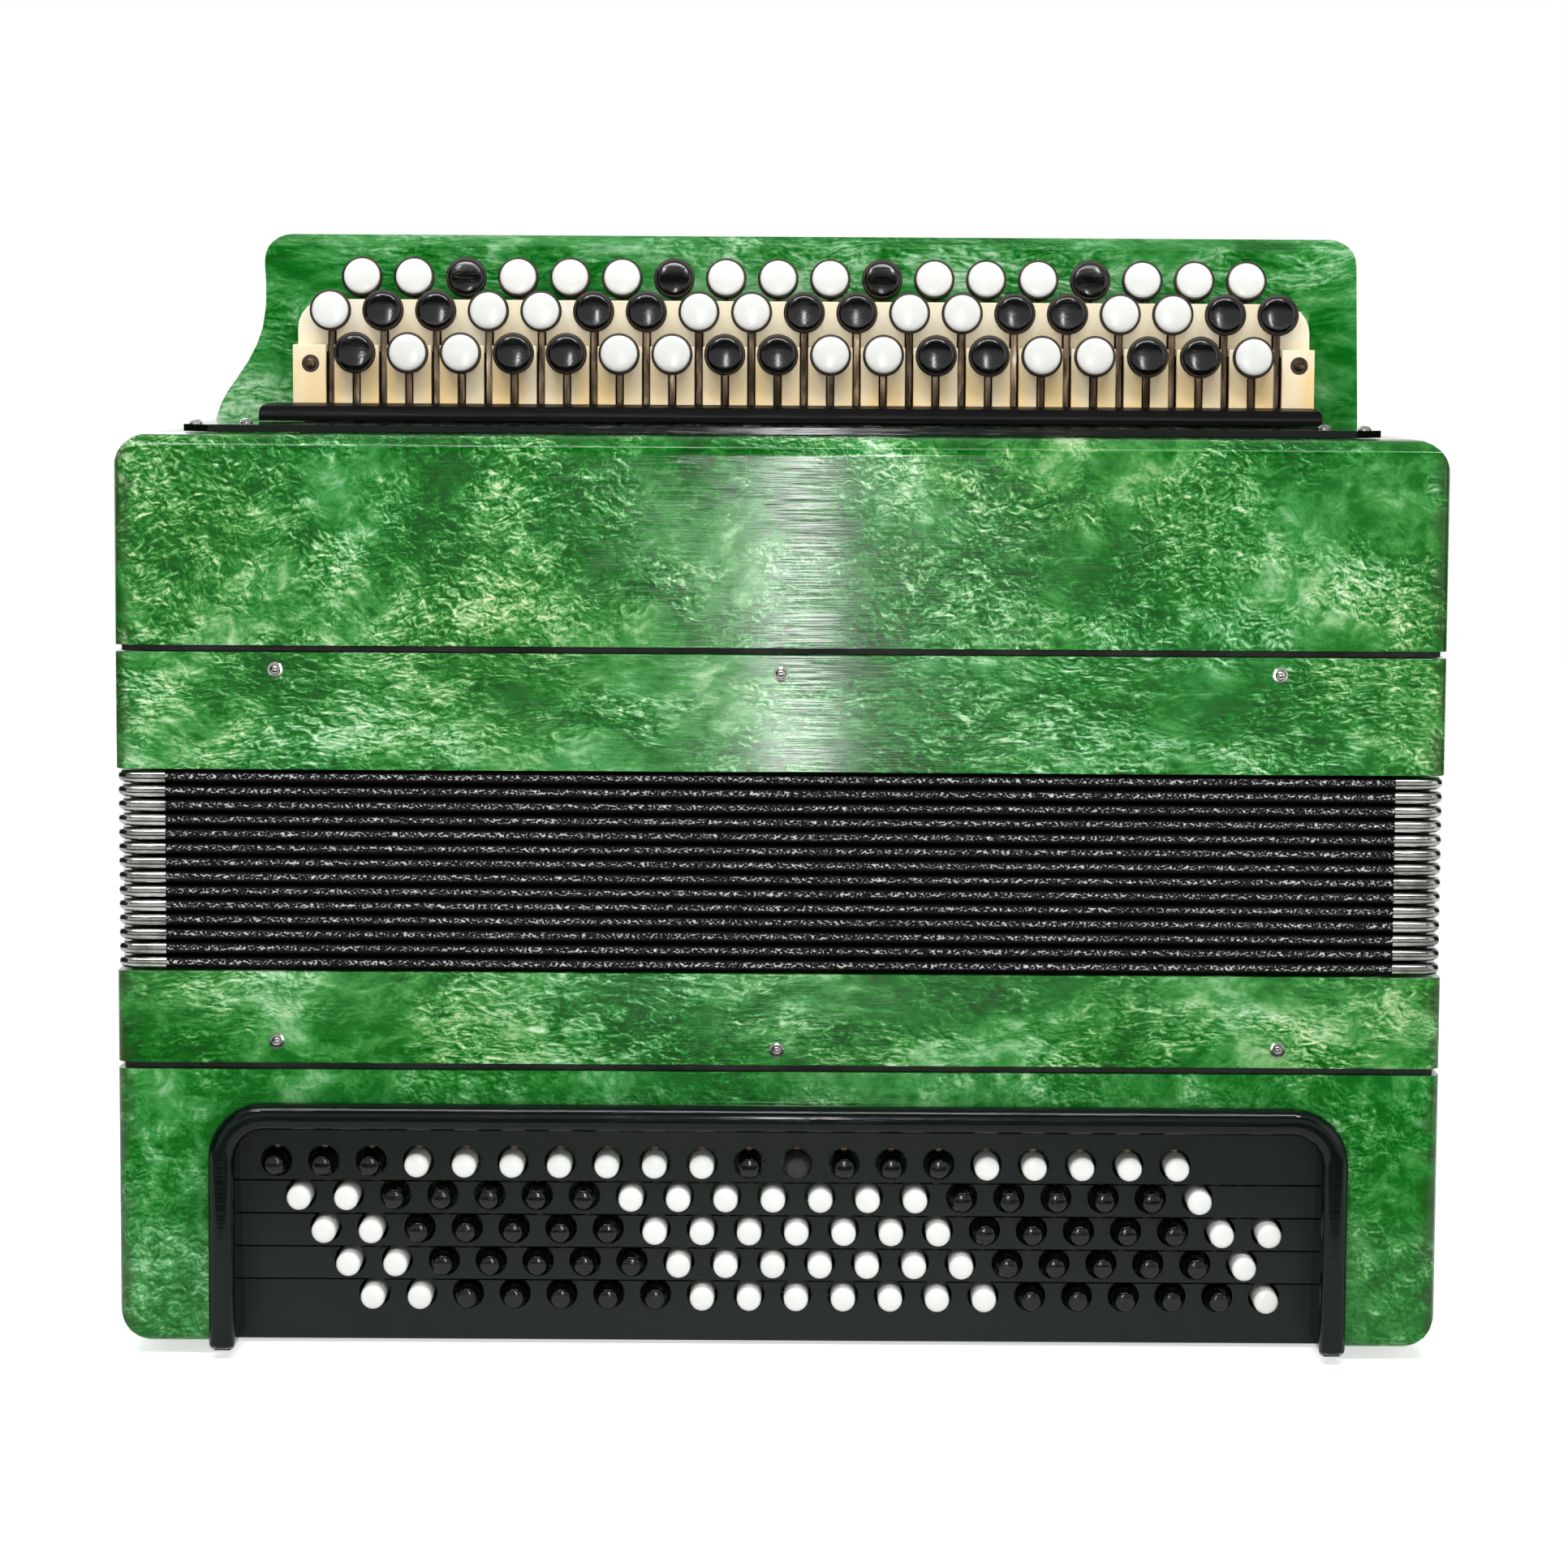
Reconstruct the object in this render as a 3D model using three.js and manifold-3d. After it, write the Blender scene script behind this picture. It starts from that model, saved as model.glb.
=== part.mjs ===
// A button bayan that stands on its bass end with its treble end up. Millimetres, +Z up, front at -Y.
// Inside the file y is counted from the front face backwards and z from the floor upwards.
import * as THREE from "three";
import { mergeVertices } from "three/addons/utils/BufferGeometryUtils.js";
import Module from "manifold-3d";

const wasm = await Module();
wasm.setup();

// Body of the instrument
const treblePitch = 18;
const middleRowButtons = 19;
const keyMarginLeft = 60.2;
const keyMarginRight = 45.8;
const bodyWidth = (middleRowButtons - 1) * treblePitch + keyMarginLeft + keyMarginRight;
const half = bodyWidth / 2;
const keysLeft = half - keyMarginLeft;
const keysRight = half - keyMarginRight;
const bodyDepth = 195;
const edgeRound = 4;
const frameWall = 9;
const lipWall = 2;
const lipHeight = 10;
const seatGap = 0.3;
const overrun = 2;
const gasketGap = 2.2;
const gasketInset = 2;

// Heights of the stack, from the floor up
const footHeight = 1.7;
const endCoverThickness = 2.2;
const bassCasingHeight = 90.2;
const bassFrameHeight = 29.9;
const bellowsHeight = 65.8;
const trebleFrameHeight = 38;
const trebleCasingHeight = 68.1;

// Casings
const bassCornerRound = 12.5;
const trebleCornerRound = 12;
const topEdgeRound = 6.5;
const bassFloor = 8;
const trebleRoof = 8;
const chamberInset = 16;
const trebleDeckDrop = 22.9;
const trebleDeckThickness = 6;
const bassDeckDrop = 1.2;
const bassDeckThickness = 5;

// Grille over the treble pallets
const grilleThickness = 2.3;
const grilleInset = 20.5;
const grilleFront = 10;
const grilleBack = 95;
const grillePoint = 9;
const grilleSlots = 16;
const grilleSlotWidth = 6;
const grilleSlotLength = 42;
const grilleSlotMargin = 34.5;
const grilleSlotPitch = (2 * (half - grilleInset - grilleSlotMargin)) / grilleSlots;
const roofOpeningInset = 31;
const roofOpeningFront = 18;
const roofOpeningBack = 119;

// Fingerboard
const boardRise = 67;
const boardFootFront = 122.2;
const boardTopFront = 134;
const boardTopBack = 160;
const boardFootBack = 178;
const boardMarginLeft = 26.2;
const boardMarginRight = 30.8;
const boardLeft = keysLeft + boardMarginLeft;
const boardRight = keysRight + boardMarginRight;
const boardFlare = 19;
const boardFlareHeight = 34;
const boardCornerRound = 9;
const boardEdgeRound = 4;

// Stepped comb in front of the fingerboard
const combSheet = 2.5;
const combFront = 97;
const combStep = 8;
const combMarginLeft = 12.8;
const combMarginRight = 12.6;
const combLeft = keysLeft + combMarginLeft;
const combRight = keysRight + combMarginRight;
const combShoulder = 1;
const combSeamOverlap = 5;
const combFoot = 3.6;
const combStepRise = 28.7;
const combTopRise = 44.3;
const combCornerRound = 10;
const combSlot = 2.8;
const cheekWidth = 7;

// Guard bar across the foot of the comb
const guardFront = 82;
const guardBack = 94;
const guardHeight = 6;
const guardUpstand = 4;
const guardMarginLeft = 10;
const guardMarginRight = 1.3;
const guardLeft = combLeft + guardMarginLeft;
const guardRight = combRight + guardMarginRight;
const guardRound = 3;

// Treble buttons and their levers
const trebleFirstX = treblePitch / 2 - keysLeft;
const trebleRimRadius = 7;
const trebleFaceRadius = 5.7;
const trebleRimDepth = 2.6;
const trebleCapDepth = 4;
const stemWidth = 3.4;
const leverTopDrop = 0.5;
const leverWidth = 1.8;
const leverDepth = 3;
const axleRadius = 1.5;
const axleHole = 1.9;
const palletWidth = 11;
const palletLength = 12;
const palletThickness = 3;
const barHeight = 2;
const bearingThickness = 3;
const bearingOutset = 9;
const bearingMargin = 4.5;
const topRowButtons = 18;
const topRowRise = 52.7;
const topRowFace = 116.6;
const topRowTilt = 12;
const topRowLeverBack = 123;
const topRowAxleBack = 112;
const topRowAxleRise = 9;
const topRowPalletBack = 36;
const middleRowRise = 40.6;
const middleRowFace = 96.1;
const middleRowTilt = 3;
const middleRowLeverBack = 104.5;
const middleRowAxleRise = 13;
const middleRowPalletBack = 56;
const lowRowButtons = 18;
const lowRowRise = 26.2;
const lowRowFace = 88.2;
const lowRowTilt = 4;
const lowRowLeverBack = 99.2;
const lowRowAxleRise = 19;
const lowRowPalletBack = 77;
const lowRowBarShift = 4.2;

// Reed blocks
const trebleBlockWidth = 14;
const trebleBlockTall = 46;
const trebleBlockShort = 34;
const bassBlockWidth = 20;
const bassBlockTall = 44;
const bassBlockShort = 36;
const bassBlockInset = 65;
const bassBlockSpan = half - bassBlockInset;
const bassBlockBacks = [94, 120];

// Bellows
const pleats = 14;
const pleatDepth = 15;
const bellowsDepth = 18;
const bellowsSkin = 3;
const ridgeShare = 0.76;
const bellowsCornerRound = 5;

// Stepped bass panel and its bezel
const bassPitch = 15.5;
const bassButtons = 20;
const bassRows = 5;
const bassRowSpacing = 11.55;
const panelMargin = 13.75;
const panelHalfWidth = ((bassButtons + 1) * bassPitch) / 2 + panelMargin;
const panelBottom = 1.4;
const lowestRowRise = 15.6;
const topRowDrop = 12.4;
const bassTopRowHeight = panelBottom + lowestRowRise + (bassRows - 1) * bassRowSpacing;
const panelTop = bassTopRowHeight + topRowDrop;
const panelFlange = 7;
const panelFront = 9;
const panelStep = 3;
const panelSheet = 2.5;
const panelLedge = 1;
const bezelWidth = 8.7;
const bezelProud = 8;
const bezelRound = 16;
const bezelLining = 1.6;
const bezelFoot = 2.8;

// Bass buttons and their levers
const bassMargin = 12.1;
const bassFirstX = bassMargin - panelHalfWidth;
const bassButtonRadius = 4;
const bassHoleRadius = 5.2;
const stepLineShare = 1 / 15;
const bassButtonProud = 9;
const bassAxleDrop = 4.5;
const bassFirstLeverBack = 14.2;
const bassLeverStep = 5;
const bassLeverDepth = 2.4;
const bassBearingThickness = 2.2;
const bassBearingOutset = 6.5;
const bassBearingDepth = 3.5;

// Bass pallets and air valve
const bankAxleBack = 72;
const bankAxleDrop = 8.5;
const bankPallets = 12;
const airValveInset = 33;
const airValveX = half - airValveInset;
const bankMargin = 32;
const bankPitch = (2 * (airValveX - bankMargin)) / bankPallets;
const bankPalletBack = 94;
const bankPalletLength = 14;
const bankPalletWidth = 12;
const lugHalf = 5;
const airValveWidth = 18;

// Dished end cover, hand strap and feet
const endCoverInset = 25;
const endCoverHalf = half - endCoverInset;
const endCoverFront = 26;
const endCoverBackInset = 13;
const dishInset = 30;
const dishHalf = endCoverHalf - dishInset;
const dishFront = 84;
const dishBack = 176;
const dishDepth = 10;
const strapInset = 8;
const strapHalf = dishHalf - strapInset;
const strapWidth = 50;
const strapThickness = 2.4;
const strapLift = 0.6;
const anchorLength = 12;
const footRadius = 8;
const footInset = 32;
const footFront = 42;
const footBackInset = 22;

// Loops for the shoulder straps
const loopInset = 30;
const loopRise = 42;
const bracketWidth = 30;
const bracketHeight = 18;
const bracketPlate = 1.5;
const loopRod = 3;
const loopWidth = 30;
const loopDrop = 20;
const loopStandOff = 3;
const earWidth = 2.5;
const earInset = 9;
const earHole = 2.6;
const earReach = 7.6;

// Facets
const cornerSteps = 3;
const edgeSteps = 2;
const trebleCapSides = 8;
const bassCapSides = 6;
const bassHoleSides = 6;
const bearingHoleSides = 8;
const bellowsCornerSteps = 1;
const axleSides = 4;

// Levels and lines that follow from the sizes above
const bassBase = footHeight + endCoverThickness + 2 * seatGap;
const bassTop = bassBase + bassCasingHeight;
const bassFrameBase = bassTop + gasketGap;
const bassFrameTop = bassFrameBase + bassFrameHeight;
const trebleFrameBase = bassFrameTop + bellowsHeight;
const trebleFrameTop = trebleFrameBase + trebleFrameHeight;
const trebleBase = trebleFrameTop + gasketGap;
const trebleTop = trebleBase + trebleCasingHeight;
const casingWall = frameWall + seatGap + lipWall;
const trebleDeckTop = trebleTop - trebleDeckDrop - seatGap;
const trebleDeckBase = trebleDeckTop - trebleDeckThickness;
const bassDeckTop = bassTop - bassDeckDrop;
const bassDeckBase = bassDeckTop - bassDeckThickness;
const bassAxleHeight = bassDeckBase - bassAxleDrop;
const bankAxleHeight = bassDeckBase - bankAxleDrop;
const grilleBase = trebleTop + seatGap;
const grilleTop = grilleBase + grilleThickness;
const boardBase = trebleTop + seatGap;

const degrees = THREE.MathUtils.degToRad;

const trebleRows = [
  {
    name: "treble_row_top",
    buttons: topRowButtons,
    firstX: trebleFirstX,
    height: trebleTop + topRowRise,
    face: topRowFace,
    tilt: degrees(topRowTilt),
    leverBack: topRowLeverBack,
    axleBack: topRowAxleBack,
    axleHeight: trebleDeckTop + topRowAxleRise,
    palletBack: topRowPalletBack,
    barShift: 0,
  },
  {
    name: "treble_row_middle",
    buttons: middleRowButtons,
    firstX: trebleFirstX - treblePitch / 2,
    height: trebleTop + middleRowRise,
    face: middleRowFace,
    tilt: degrees(middleRowTilt),
    leverBack: middleRowLeverBack,
    axleBack: middleRowLeverBack,
    axleHeight: trebleDeckTop + middleRowAxleRise,
    palletBack: middleRowPalletBack,
    barShift: 0,
  },
  {
    name: "treble_row_low",
    buttons: lowRowButtons,
    firstX: trebleFirstX,
    height: trebleTop + lowRowRise,
    face: lowRowFace,
    tilt: degrees(lowRowTilt),
    leverBack: lowRowLeverBack,
    axleBack: lowRowLeverBack,
    axleHeight: trebleDeckTop + lowRowAxleRise,
    palletBack: lowRowPalletBack,
    barShift: lowRowBarShift,
  },
];

const bassRowList = [...Array(bassRows).keys()].map((row) => ({
  name: "bass_row_" + (row + 1),
  firstX: bassFirstX + (row * bassPitch) / 2,
  height: bassTopRowHeight - row * bassRowSpacing,
  surface: panelFront + row * panelStep,
  leverBack: bassFirstLeverBack + row * bassLeverStep,
}));
const lastBassX = bassRowList[bassRows - 1].firstX + (bassButtons - 1) * bassPitch;
const airRow = bassRowList[2];
const airX = airRow.firstX + bassButtons * bassPitch;
const panelHoles = bassRowList.flatMap((row) =>
  [...Array(bassButtons).keys()].map((i) => ({ x: row.firstX + i * bassPitch, row })),
);
panelHoles.push({ x: airX, row: airRow });

// Solids
function solid(geometry) {
  const bare = new THREE.BufferGeometry();
  bare.setAttribute("position", geometry.getAttribute("position"));
  if (geometry.index) bare.setIndex(geometry.index);
  const merged = mergeVertices(bare, 1e-4);
  return new wasm.Manifold(
    new wasm.Mesh({
      numProp: 3,
      vertProperties: merged.attributes.position.array,
      triVerts: new Uint32Array(merged.index.array),
    }),
  );
}

function join(solids) {
  return solids.reduce((sum, next) => sum.add(next));
}

function cut(body, tools) {
  return tools.reduce((left, tool) => left.subtract(tool), body);
}

function block(x0, x1, y0, y1, z0, z1) {
  const box = new THREE.BoxGeometry(x1 - x0, y1 - y0, z1 - z0);
  return solid(box.translate((x0 + x1) / 2, (y0 + y1) / 2, (z0 + z1) / 2));
}

function extrude(shape, depth, steps = cornerSteps) {
  return new THREE.ExtrudeGeometry(shape, { depth, bevelEnabled: false, curveSegments: steps });
}

// A shape drawn in x and y, pulled up from z0 to z1
function upright(shape, z0, z1, steps) {
  return solid(extrude(shape, z1 - z0, steps).translate(0, 0, z0));
}

// A shape drawn in x and z, seen from the front, pulled from y1 forwards to y0
function facing(shape, y0, y1, steps) {
  return solid(
    extrude(shape, y1 - y0, steps)
      .rotateX(Math.PI / 2)
      .translate(0, y1, 0),
  );
}

// A shape drawn in y and z, seen from the side, pulled along x
const sideways = new THREE.Matrix4().makeBasis(
  new THREE.Vector3(0, 1, 0),
  new THREE.Vector3(0, 0, 1),
  new THREE.Vector3(1, 0, 0),
);
function profile(shape, x0, x1, steps) {
  return solid(
    extrude(shape, x1 - x0, steps)
      .applyMatrix4(sideways)
      .translate(x0, 0, 0),
  );
}

function outline(points) {
  return new THREE.Shape(points.map(([a, b]) => new THREE.Vector2(a, b)));
}

// A rectangle with one radius for its two lower corners and one for its two upper ones
function rounded(a0, a1, b0, b1, low, high = low) {
  const shape = new THREE.Shape();
  shape.moveTo(a0 + low, b0);
  shape.lineTo(a1 - low, b0);
  if (low > 0) shape.absarc(a1 - low, b0 + low, low, -Math.PI / 2, 0);
  shape.lineTo(a1, b1 - high);
  if (high > 0) shape.absarc(a1 - high, b1 - high, high, 0, Math.PI / 2);
  shape.lineTo(a0 + high, b1);
  if (high > 0) shape.absarc(a0 + high, b1 - high, high, Math.PI / 2, Math.PI);
  shape.lineTo(a0, b0 + low);
  if (low > 0) shape.absarc(a0 + low, b0 + low, low, Math.PI, 1.5 * Math.PI);
  return shape;
}

// The plan of the body, drawn in by inset
function plan(inset) {
  const round = Math.max(edgeRound - inset, edgeRound / 4);
  return rounded(-half + inset, half - inset, inset, bodyDepth - inset, round);
}

function ring(outer, inner, z0, z1) {
  return upright(plan(outer), z0, z1, edgeSteps).subtract(
    upright(plan(inner), z0 - overrun, z1 + overrun, edgeSteps),
  );
}

// A rod along x, and a rod along y
function rodX(radius, x0, x1, y, z, sides = axleSides) {
  const rod = new THREE.CylinderGeometry(radius, radius, x1 - x0, sides);
  return solid(rod.rotateZ(Math.PI / 2).translate((x0 + x1) / 2, y, z));
}

function rodY(radius, y0, y1, x, z, sides) {
  const rod = new THREE.CylinderGeometry(radius, radius, y1 - y0, sides);
  return solid(rod.translate(x, (y0 + y1) / 2, z));
}

// Materials
const finish = (color, roughness, metalness = 0) =>
  new THREE.MeshStandardMaterial({ color, roughness, metalness });
const green = finish(0x2e9146, 0.22);
const blackGloss = finish(0x101211, 0.2);
const blackSatin = finish(0x1a201d, 0.4);
const ivory = finish(0xf0d9a4, 0.45);
const white = finish(0xf4f2ec, 0.25);
const felt = finish(0x0d0d0d, 0.95);
const wood = finish(0xb98a55, 0.6);
const steel = finish(0xb9bcc0, 0.3, 1);
const leather = finish(0x15120f, 0.6);
const cloth = finish(0x121212, 0.7);
const rubber = finish(0x151515, 0.8);

const bayan = new THREE.Group();
const trebleSide = new THREE.Group();
const bassSide = new THREE.Group();
bayan.add(bassSide, trebleSide);

function place(group, name, body, material) {
  const mesh = body.getMesh();
  const geometry = new THREE.BufferGeometry();
  geometry.setAttribute("position", new THREE.BufferAttribute(mesh.vertProperties, mesh.numProp));
  geometry.setIndex(new THREE.BufferAttribute(mesh.triVerts, 1));
  geometry.computeVertexNormals();
  const part = new THREE.Mesh(geometry, material);
  part.name = name;
  group.add(part);
}

// Bellows frames and gaskets
place(bassSide, "bass_bellows_frame", ring(0, frameWall, bassFrameBase, bassFrameTop), green);
place(trebleSide, "treble_bellows_frame", ring(0, frameWall, trebleFrameBase, trebleFrameTop), green);
place(
  bassSide,
  "bass_gasket",
  ring(gasketInset, frameWall, bassTop + seatGap, bassFrameBase - seatGap),
  felt,
);
place(
  trebleSide,
  "treble_gasket",
  ring(gasketInset, frameWall, trebleFrameTop + seatGap, trebleBase - seatGap),
  felt,
);

// Bellows: folded cloth with a ridge on every pleat, closed up at rest
function bellowsRing(inset, z) {
  const points = [];
  const round = bellowsCornerRound;
  const corners = [
    [half - inset - round, bodyDepth - inset - round, 0],
    [-half + inset + round, bodyDepth - inset - round, 1],
    [-half + inset + round, inset + round, 2],
    [half - inset - round, inset + round, 3],
  ];
  for (const [x, y, quarter] of corners) {
    for (let step = 0; step <= bellowsCornerSteps; step++) {
      const turn = ((quarter + step / bellowsCornerSteps) * Math.PI) / 2;
      points.push([x + round * Math.cos(turn), y + round * Math.sin(turn), z]);
    }
  }
  return points;
}

function bellowsSolid() {
  const base = bassFrameTop + seatGap;
  const pitch = (bellowsHeight - 2 * seatGap) / pleats;
  const outer = [[pleatDepth, base]];
  const inner = [[bellowsDepth, base]];
  for (let pleat = 0; pleat < pleats; pleat++) {
    const low = base + pleat * pitch;
    outer.push([0, low + (pitch * (1 - ridgeShare)) / 2]);
    outer.push([0, low + (pitch * (1 + ridgeShare)) / 2]);
    outer.push([pleatDepth, low + pitch]);
    inner.push([bellowsSkin, low + pitch / 2]);
    inner.push([bellowsDepth, low + pitch]);
  }
  const section = [...outer, ...inner.reverse()];
  const rings = section.map(([inset, z]) => bellowsRing(inset, z));
  const around = rings[0].length;
  const positions = rings.flat(2);
  const faces = [];
  rings.forEach((_, k) => {
    const next = (k + 1) % rings.length;
    for (let i = 0; i < around; i++) {
      const j = (i + 1) % around;
      const [a, b, c, d] = [k * around + i, k * around + j, next * around + j, next * around + i];
      faces.push(a, b, c, a, c, d);
    }
  });
  const geometry = new THREE.BufferGeometry();
  geometry.setAttribute("position", new THREE.Float32BufferAttribute(positions, 3));
  geometry.setIndex(faces);
  return solid(geometry);
}
place(bassSide, "bellows", bellowsSolid(), cloth);

// Treble casing: rounded shell with a lip into its bellows frame and an open roof over the pallets
function trebleCasing() {
  const front = rounded(-half, half, trebleBase, trebleTop, 0, trebleCornerRound);
  const side = rounded(0, bodyDepth, trebleBase, trebleTop, 0, topEdgeRound);
  const body = upright(plan(0), trebleBase, trebleTop, edgeSteps)
    .intersect(facing(front, -overrun, bodyDepth + overrun))
    .intersect(profile(side, -half - overrun, half + overrun, edgeSteps));
  const lip = ring(frameWall + seatGap, casingWall, trebleBase - lipHeight, trebleBase + overrun);
  const ledge = trebleTop - trebleDeckDrop;
  return cut(body.add(lip), [
    upright(plan(casingWall), trebleBase - lipHeight - overrun, ledge, 1),
    block(
      -half + chamberInset,
      half - chamberInset,
      chamberInset,
      bodyDepth - chamberInset,
      ledge - overrun,
      trebleTop - trebleRoof,
    ),
    block(
      -half + roofOpeningInset,
      half - roofOpeningInset,
      roofOpeningFront,
      roofOpeningBack,
      trebleTop - trebleRoof - overrun,
      trebleTop + overrun,
    ),
  ]);
}
place(trebleSide, "treble_casing", trebleCasing(), green);

// Treble deck under the pallets
function deck(z0, z1) {
  const inset = casingWall + seatGap;
  return block(-half + inset, half - inset, inset, bodyDepth - inset, z0, z1);
}

place(trebleSide, "treble_deck", deck(trebleDeckBase, trebleDeckTop), wood);

// Reed blocks: tapered boxes below the treble deck and above the bass deck
trebleRows.forEach((row, index) => {
  const [x0, x1] = [row.firstX - treblePitch / 2, row.firstX + (row.buttons - 0.5) * treblePitch];
  const top = trebleDeckBase - seatGap;
  const shape = outline([
    [x0, top - trebleBlockTall],
    [x1, top - trebleBlockShort],
    [x1, top],
    [x0, top],
  ]);
  const [y0, y1] = [row.palletBack - trebleBlockWidth / 2, row.palletBack + trebleBlockWidth / 2];
  place(trebleSide, "treble_reed_block_" + (index + 1), facing(shape, y0, y1), wood);
});
bassBlockBacks.forEach((back, index) => {
  const base = bassDeckTop + seatGap;
  const shape = outline([
    [-bassBlockSpan, base],
    [bassBlockSpan, base],
    [bassBlockSpan, base + bassBlockShort],
    [-bassBlockSpan, base + bassBlockTall],
  ]);
  const [y0, y1] = [back - bassBlockWidth / 2, back + bassBlockWidth / 2];
  place(bassSide, "bass_reed_block_" + (index + 1), facing(shape, y0, y1), wood);
});

// Bearings that carry the three treble axles
function bearing(x, thickness, rods, margin, z0, z1, hole) {
  const backs = rods.map((rod) => rod.y);
  const [y0, y1] = [Math.min(...backs) - margin, Math.max(...backs) + margin];
  const plate = block(x - thickness / 2, x + thickness / 2, y0, y1, z0, z1);
  const reach = thickness / 2 + overrun;
  return cut(
    plate,
    rods.map((rod) => rodX(hole, x - reach, x + reach, rod.y, rod.z, bearingHoleSides)),
  );
}

const trebleAxles = trebleRows.map((row) => ({ y: row.axleBack, z: row.axleHeight }));
const trebleBearingLeft = trebleRows[1].firstX - bearingOutset;
const trebleBearingRight =
  trebleRows[1].firstX + (middleRowButtons - 1) * treblePitch + bearingOutset;
for (const [side, x] of [
  ["left", trebleBearingLeft],
  ["right", trebleBearingRight],
]) {
  const [z0, z1] = [trebleDeckTop + seatGap, trebleTop - seatGap];
  place(
    trebleSide,
    "treble_bearing_" + side,
    bearing(x, bearingThickness, trebleAxles, bearingMargin, z0, z1, axleHole),
    steel,
  );
}

// One treble row: buttons on levers that are threaded on one axle, each with its pallet arm
function trebleCap(row, x) {
  const cap = new THREE.LatheGeometry(
    [
      new THREE.Vector2(0, 0),
      new THREE.Vector2(trebleRimRadius, 0),
      new THREE.Vector2(trebleRimRadius, trebleRimDepth),
      new THREE.Vector2(trebleFaceRadius, trebleCapDepth),
      new THREE.Vector2(0, trebleCapDepth),
    ],
    trebleCapSides,
  );
  return solid(
    cap
      .translate(0, -trebleCapDepth, 0)
      .rotateX(Math.PI - row.tilt)
      .translate(x, row.face, row.height),
  );
}

function trebleRow(row) {
  const parts = [];
  const [w, depth, post] = [leverWidth / 2, leverDepth / 2, palletLength / 4];
  const leverTop = row.height - leverTopDrop;
  const stemBase = leverTop - stemWidth;
  const behindCap = row.face + trebleCapDepth / 2;
  const palletBase = trebleDeckTop + seatGap;
  const palletHeart = palletBase + palletThickness / 2;
  const [barTop, barBase] = [row.axleHeight + barHeight / 2, row.axleHeight - barHeight / 2];
  const buttonArm = [
    [row.axleBack + depth, barBase],
    [row.leverBack + depth, leverTop],
    [behindCap, leverTop],
    [behindCap, stemBase],
    [row.leverBack - depth, stemBase],
    [row.axleBack - depth, barTop],
  ];
  const palletArm = [
    [row.palletBack - post, barTop],
    [row.palletBack - post, palletHeart],
    [row.palletBack + post, palletHeart],
    [row.palletBack + post, barBase],
  ];
  for (let i = 0; i < row.buttons; i++) {
    const x = row.firstX + i * treblePitch;
    const barX = x + row.barShift;
    parts.push(
      trebleCap(row, x),
      block(
        barX - palletWidth / 2,
        barX + palletWidth / 2,
        row.palletBack - palletLength / 2,
        row.palletBack + palletLength / 2,
        palletBase,
        palletBase + palletThickness,
      ),
    );
    if (row.barShift === 0) {
      parts.push(profile(outline([...buttonArm, ...palletArm]), x - w, x + w));
    } else {
      const hub = [
        [row.axleBack, barBase],
        [row.axleBack, barTop],
      ];
      parts.push(
        profile(outline([...buttonArm, [row.axleBack - depth, barBase]]), x - w, x + w),
        profile(outline([...hub, ...palletArm]), barX - w, barX + w),
      );
    }
  }
  const reach = bearingThickness / 2;
  const [x0, x1] = [trebleBearingLeft - reach, trebleBearingRight + reach];
  return join([rodX(axleRadius, x0, x1, row.axleBack, row.axleHeight), ...parts]);
}
trebleRows.forEach((row) => place(trebleSide, row.name, trebleRow(row), white));

// Grille plate with its row of sound slots
function grille() {
  const reach = half - grilleInset;
  const middle = (grilleFront + grilleBack) / 2;
  const shape = outline([
    [-reach + grillePoint, grilleFront],
    [reach - grillePoint, grilleFront],
    [reach, grilleFront + grillePoint],
    [reach, grilleBack],
    [-reach, grilleBack],
    [-reach, grilleFront + grillePoint],
  ]);
  const slots = [...Array(grilleSlots).keys()].map((i) => {
    const x = (i - (grilleSlots - 1) / 2) * grilleSlotPitch;
    const [w, y] = [grilleSlotWidth / 2, middle - grilleSlotLength / 2 - grillePoint];
    return block(x - w, x + w, y, y + grilleSlotLength, grilleBase - overrun, grilleTop + overrun);
  });
  return cut(upright(shape, grilleBase, grilleTop), slots);
}
place(trebleSide, "treble_grille", grille(), blackGloss);

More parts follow.
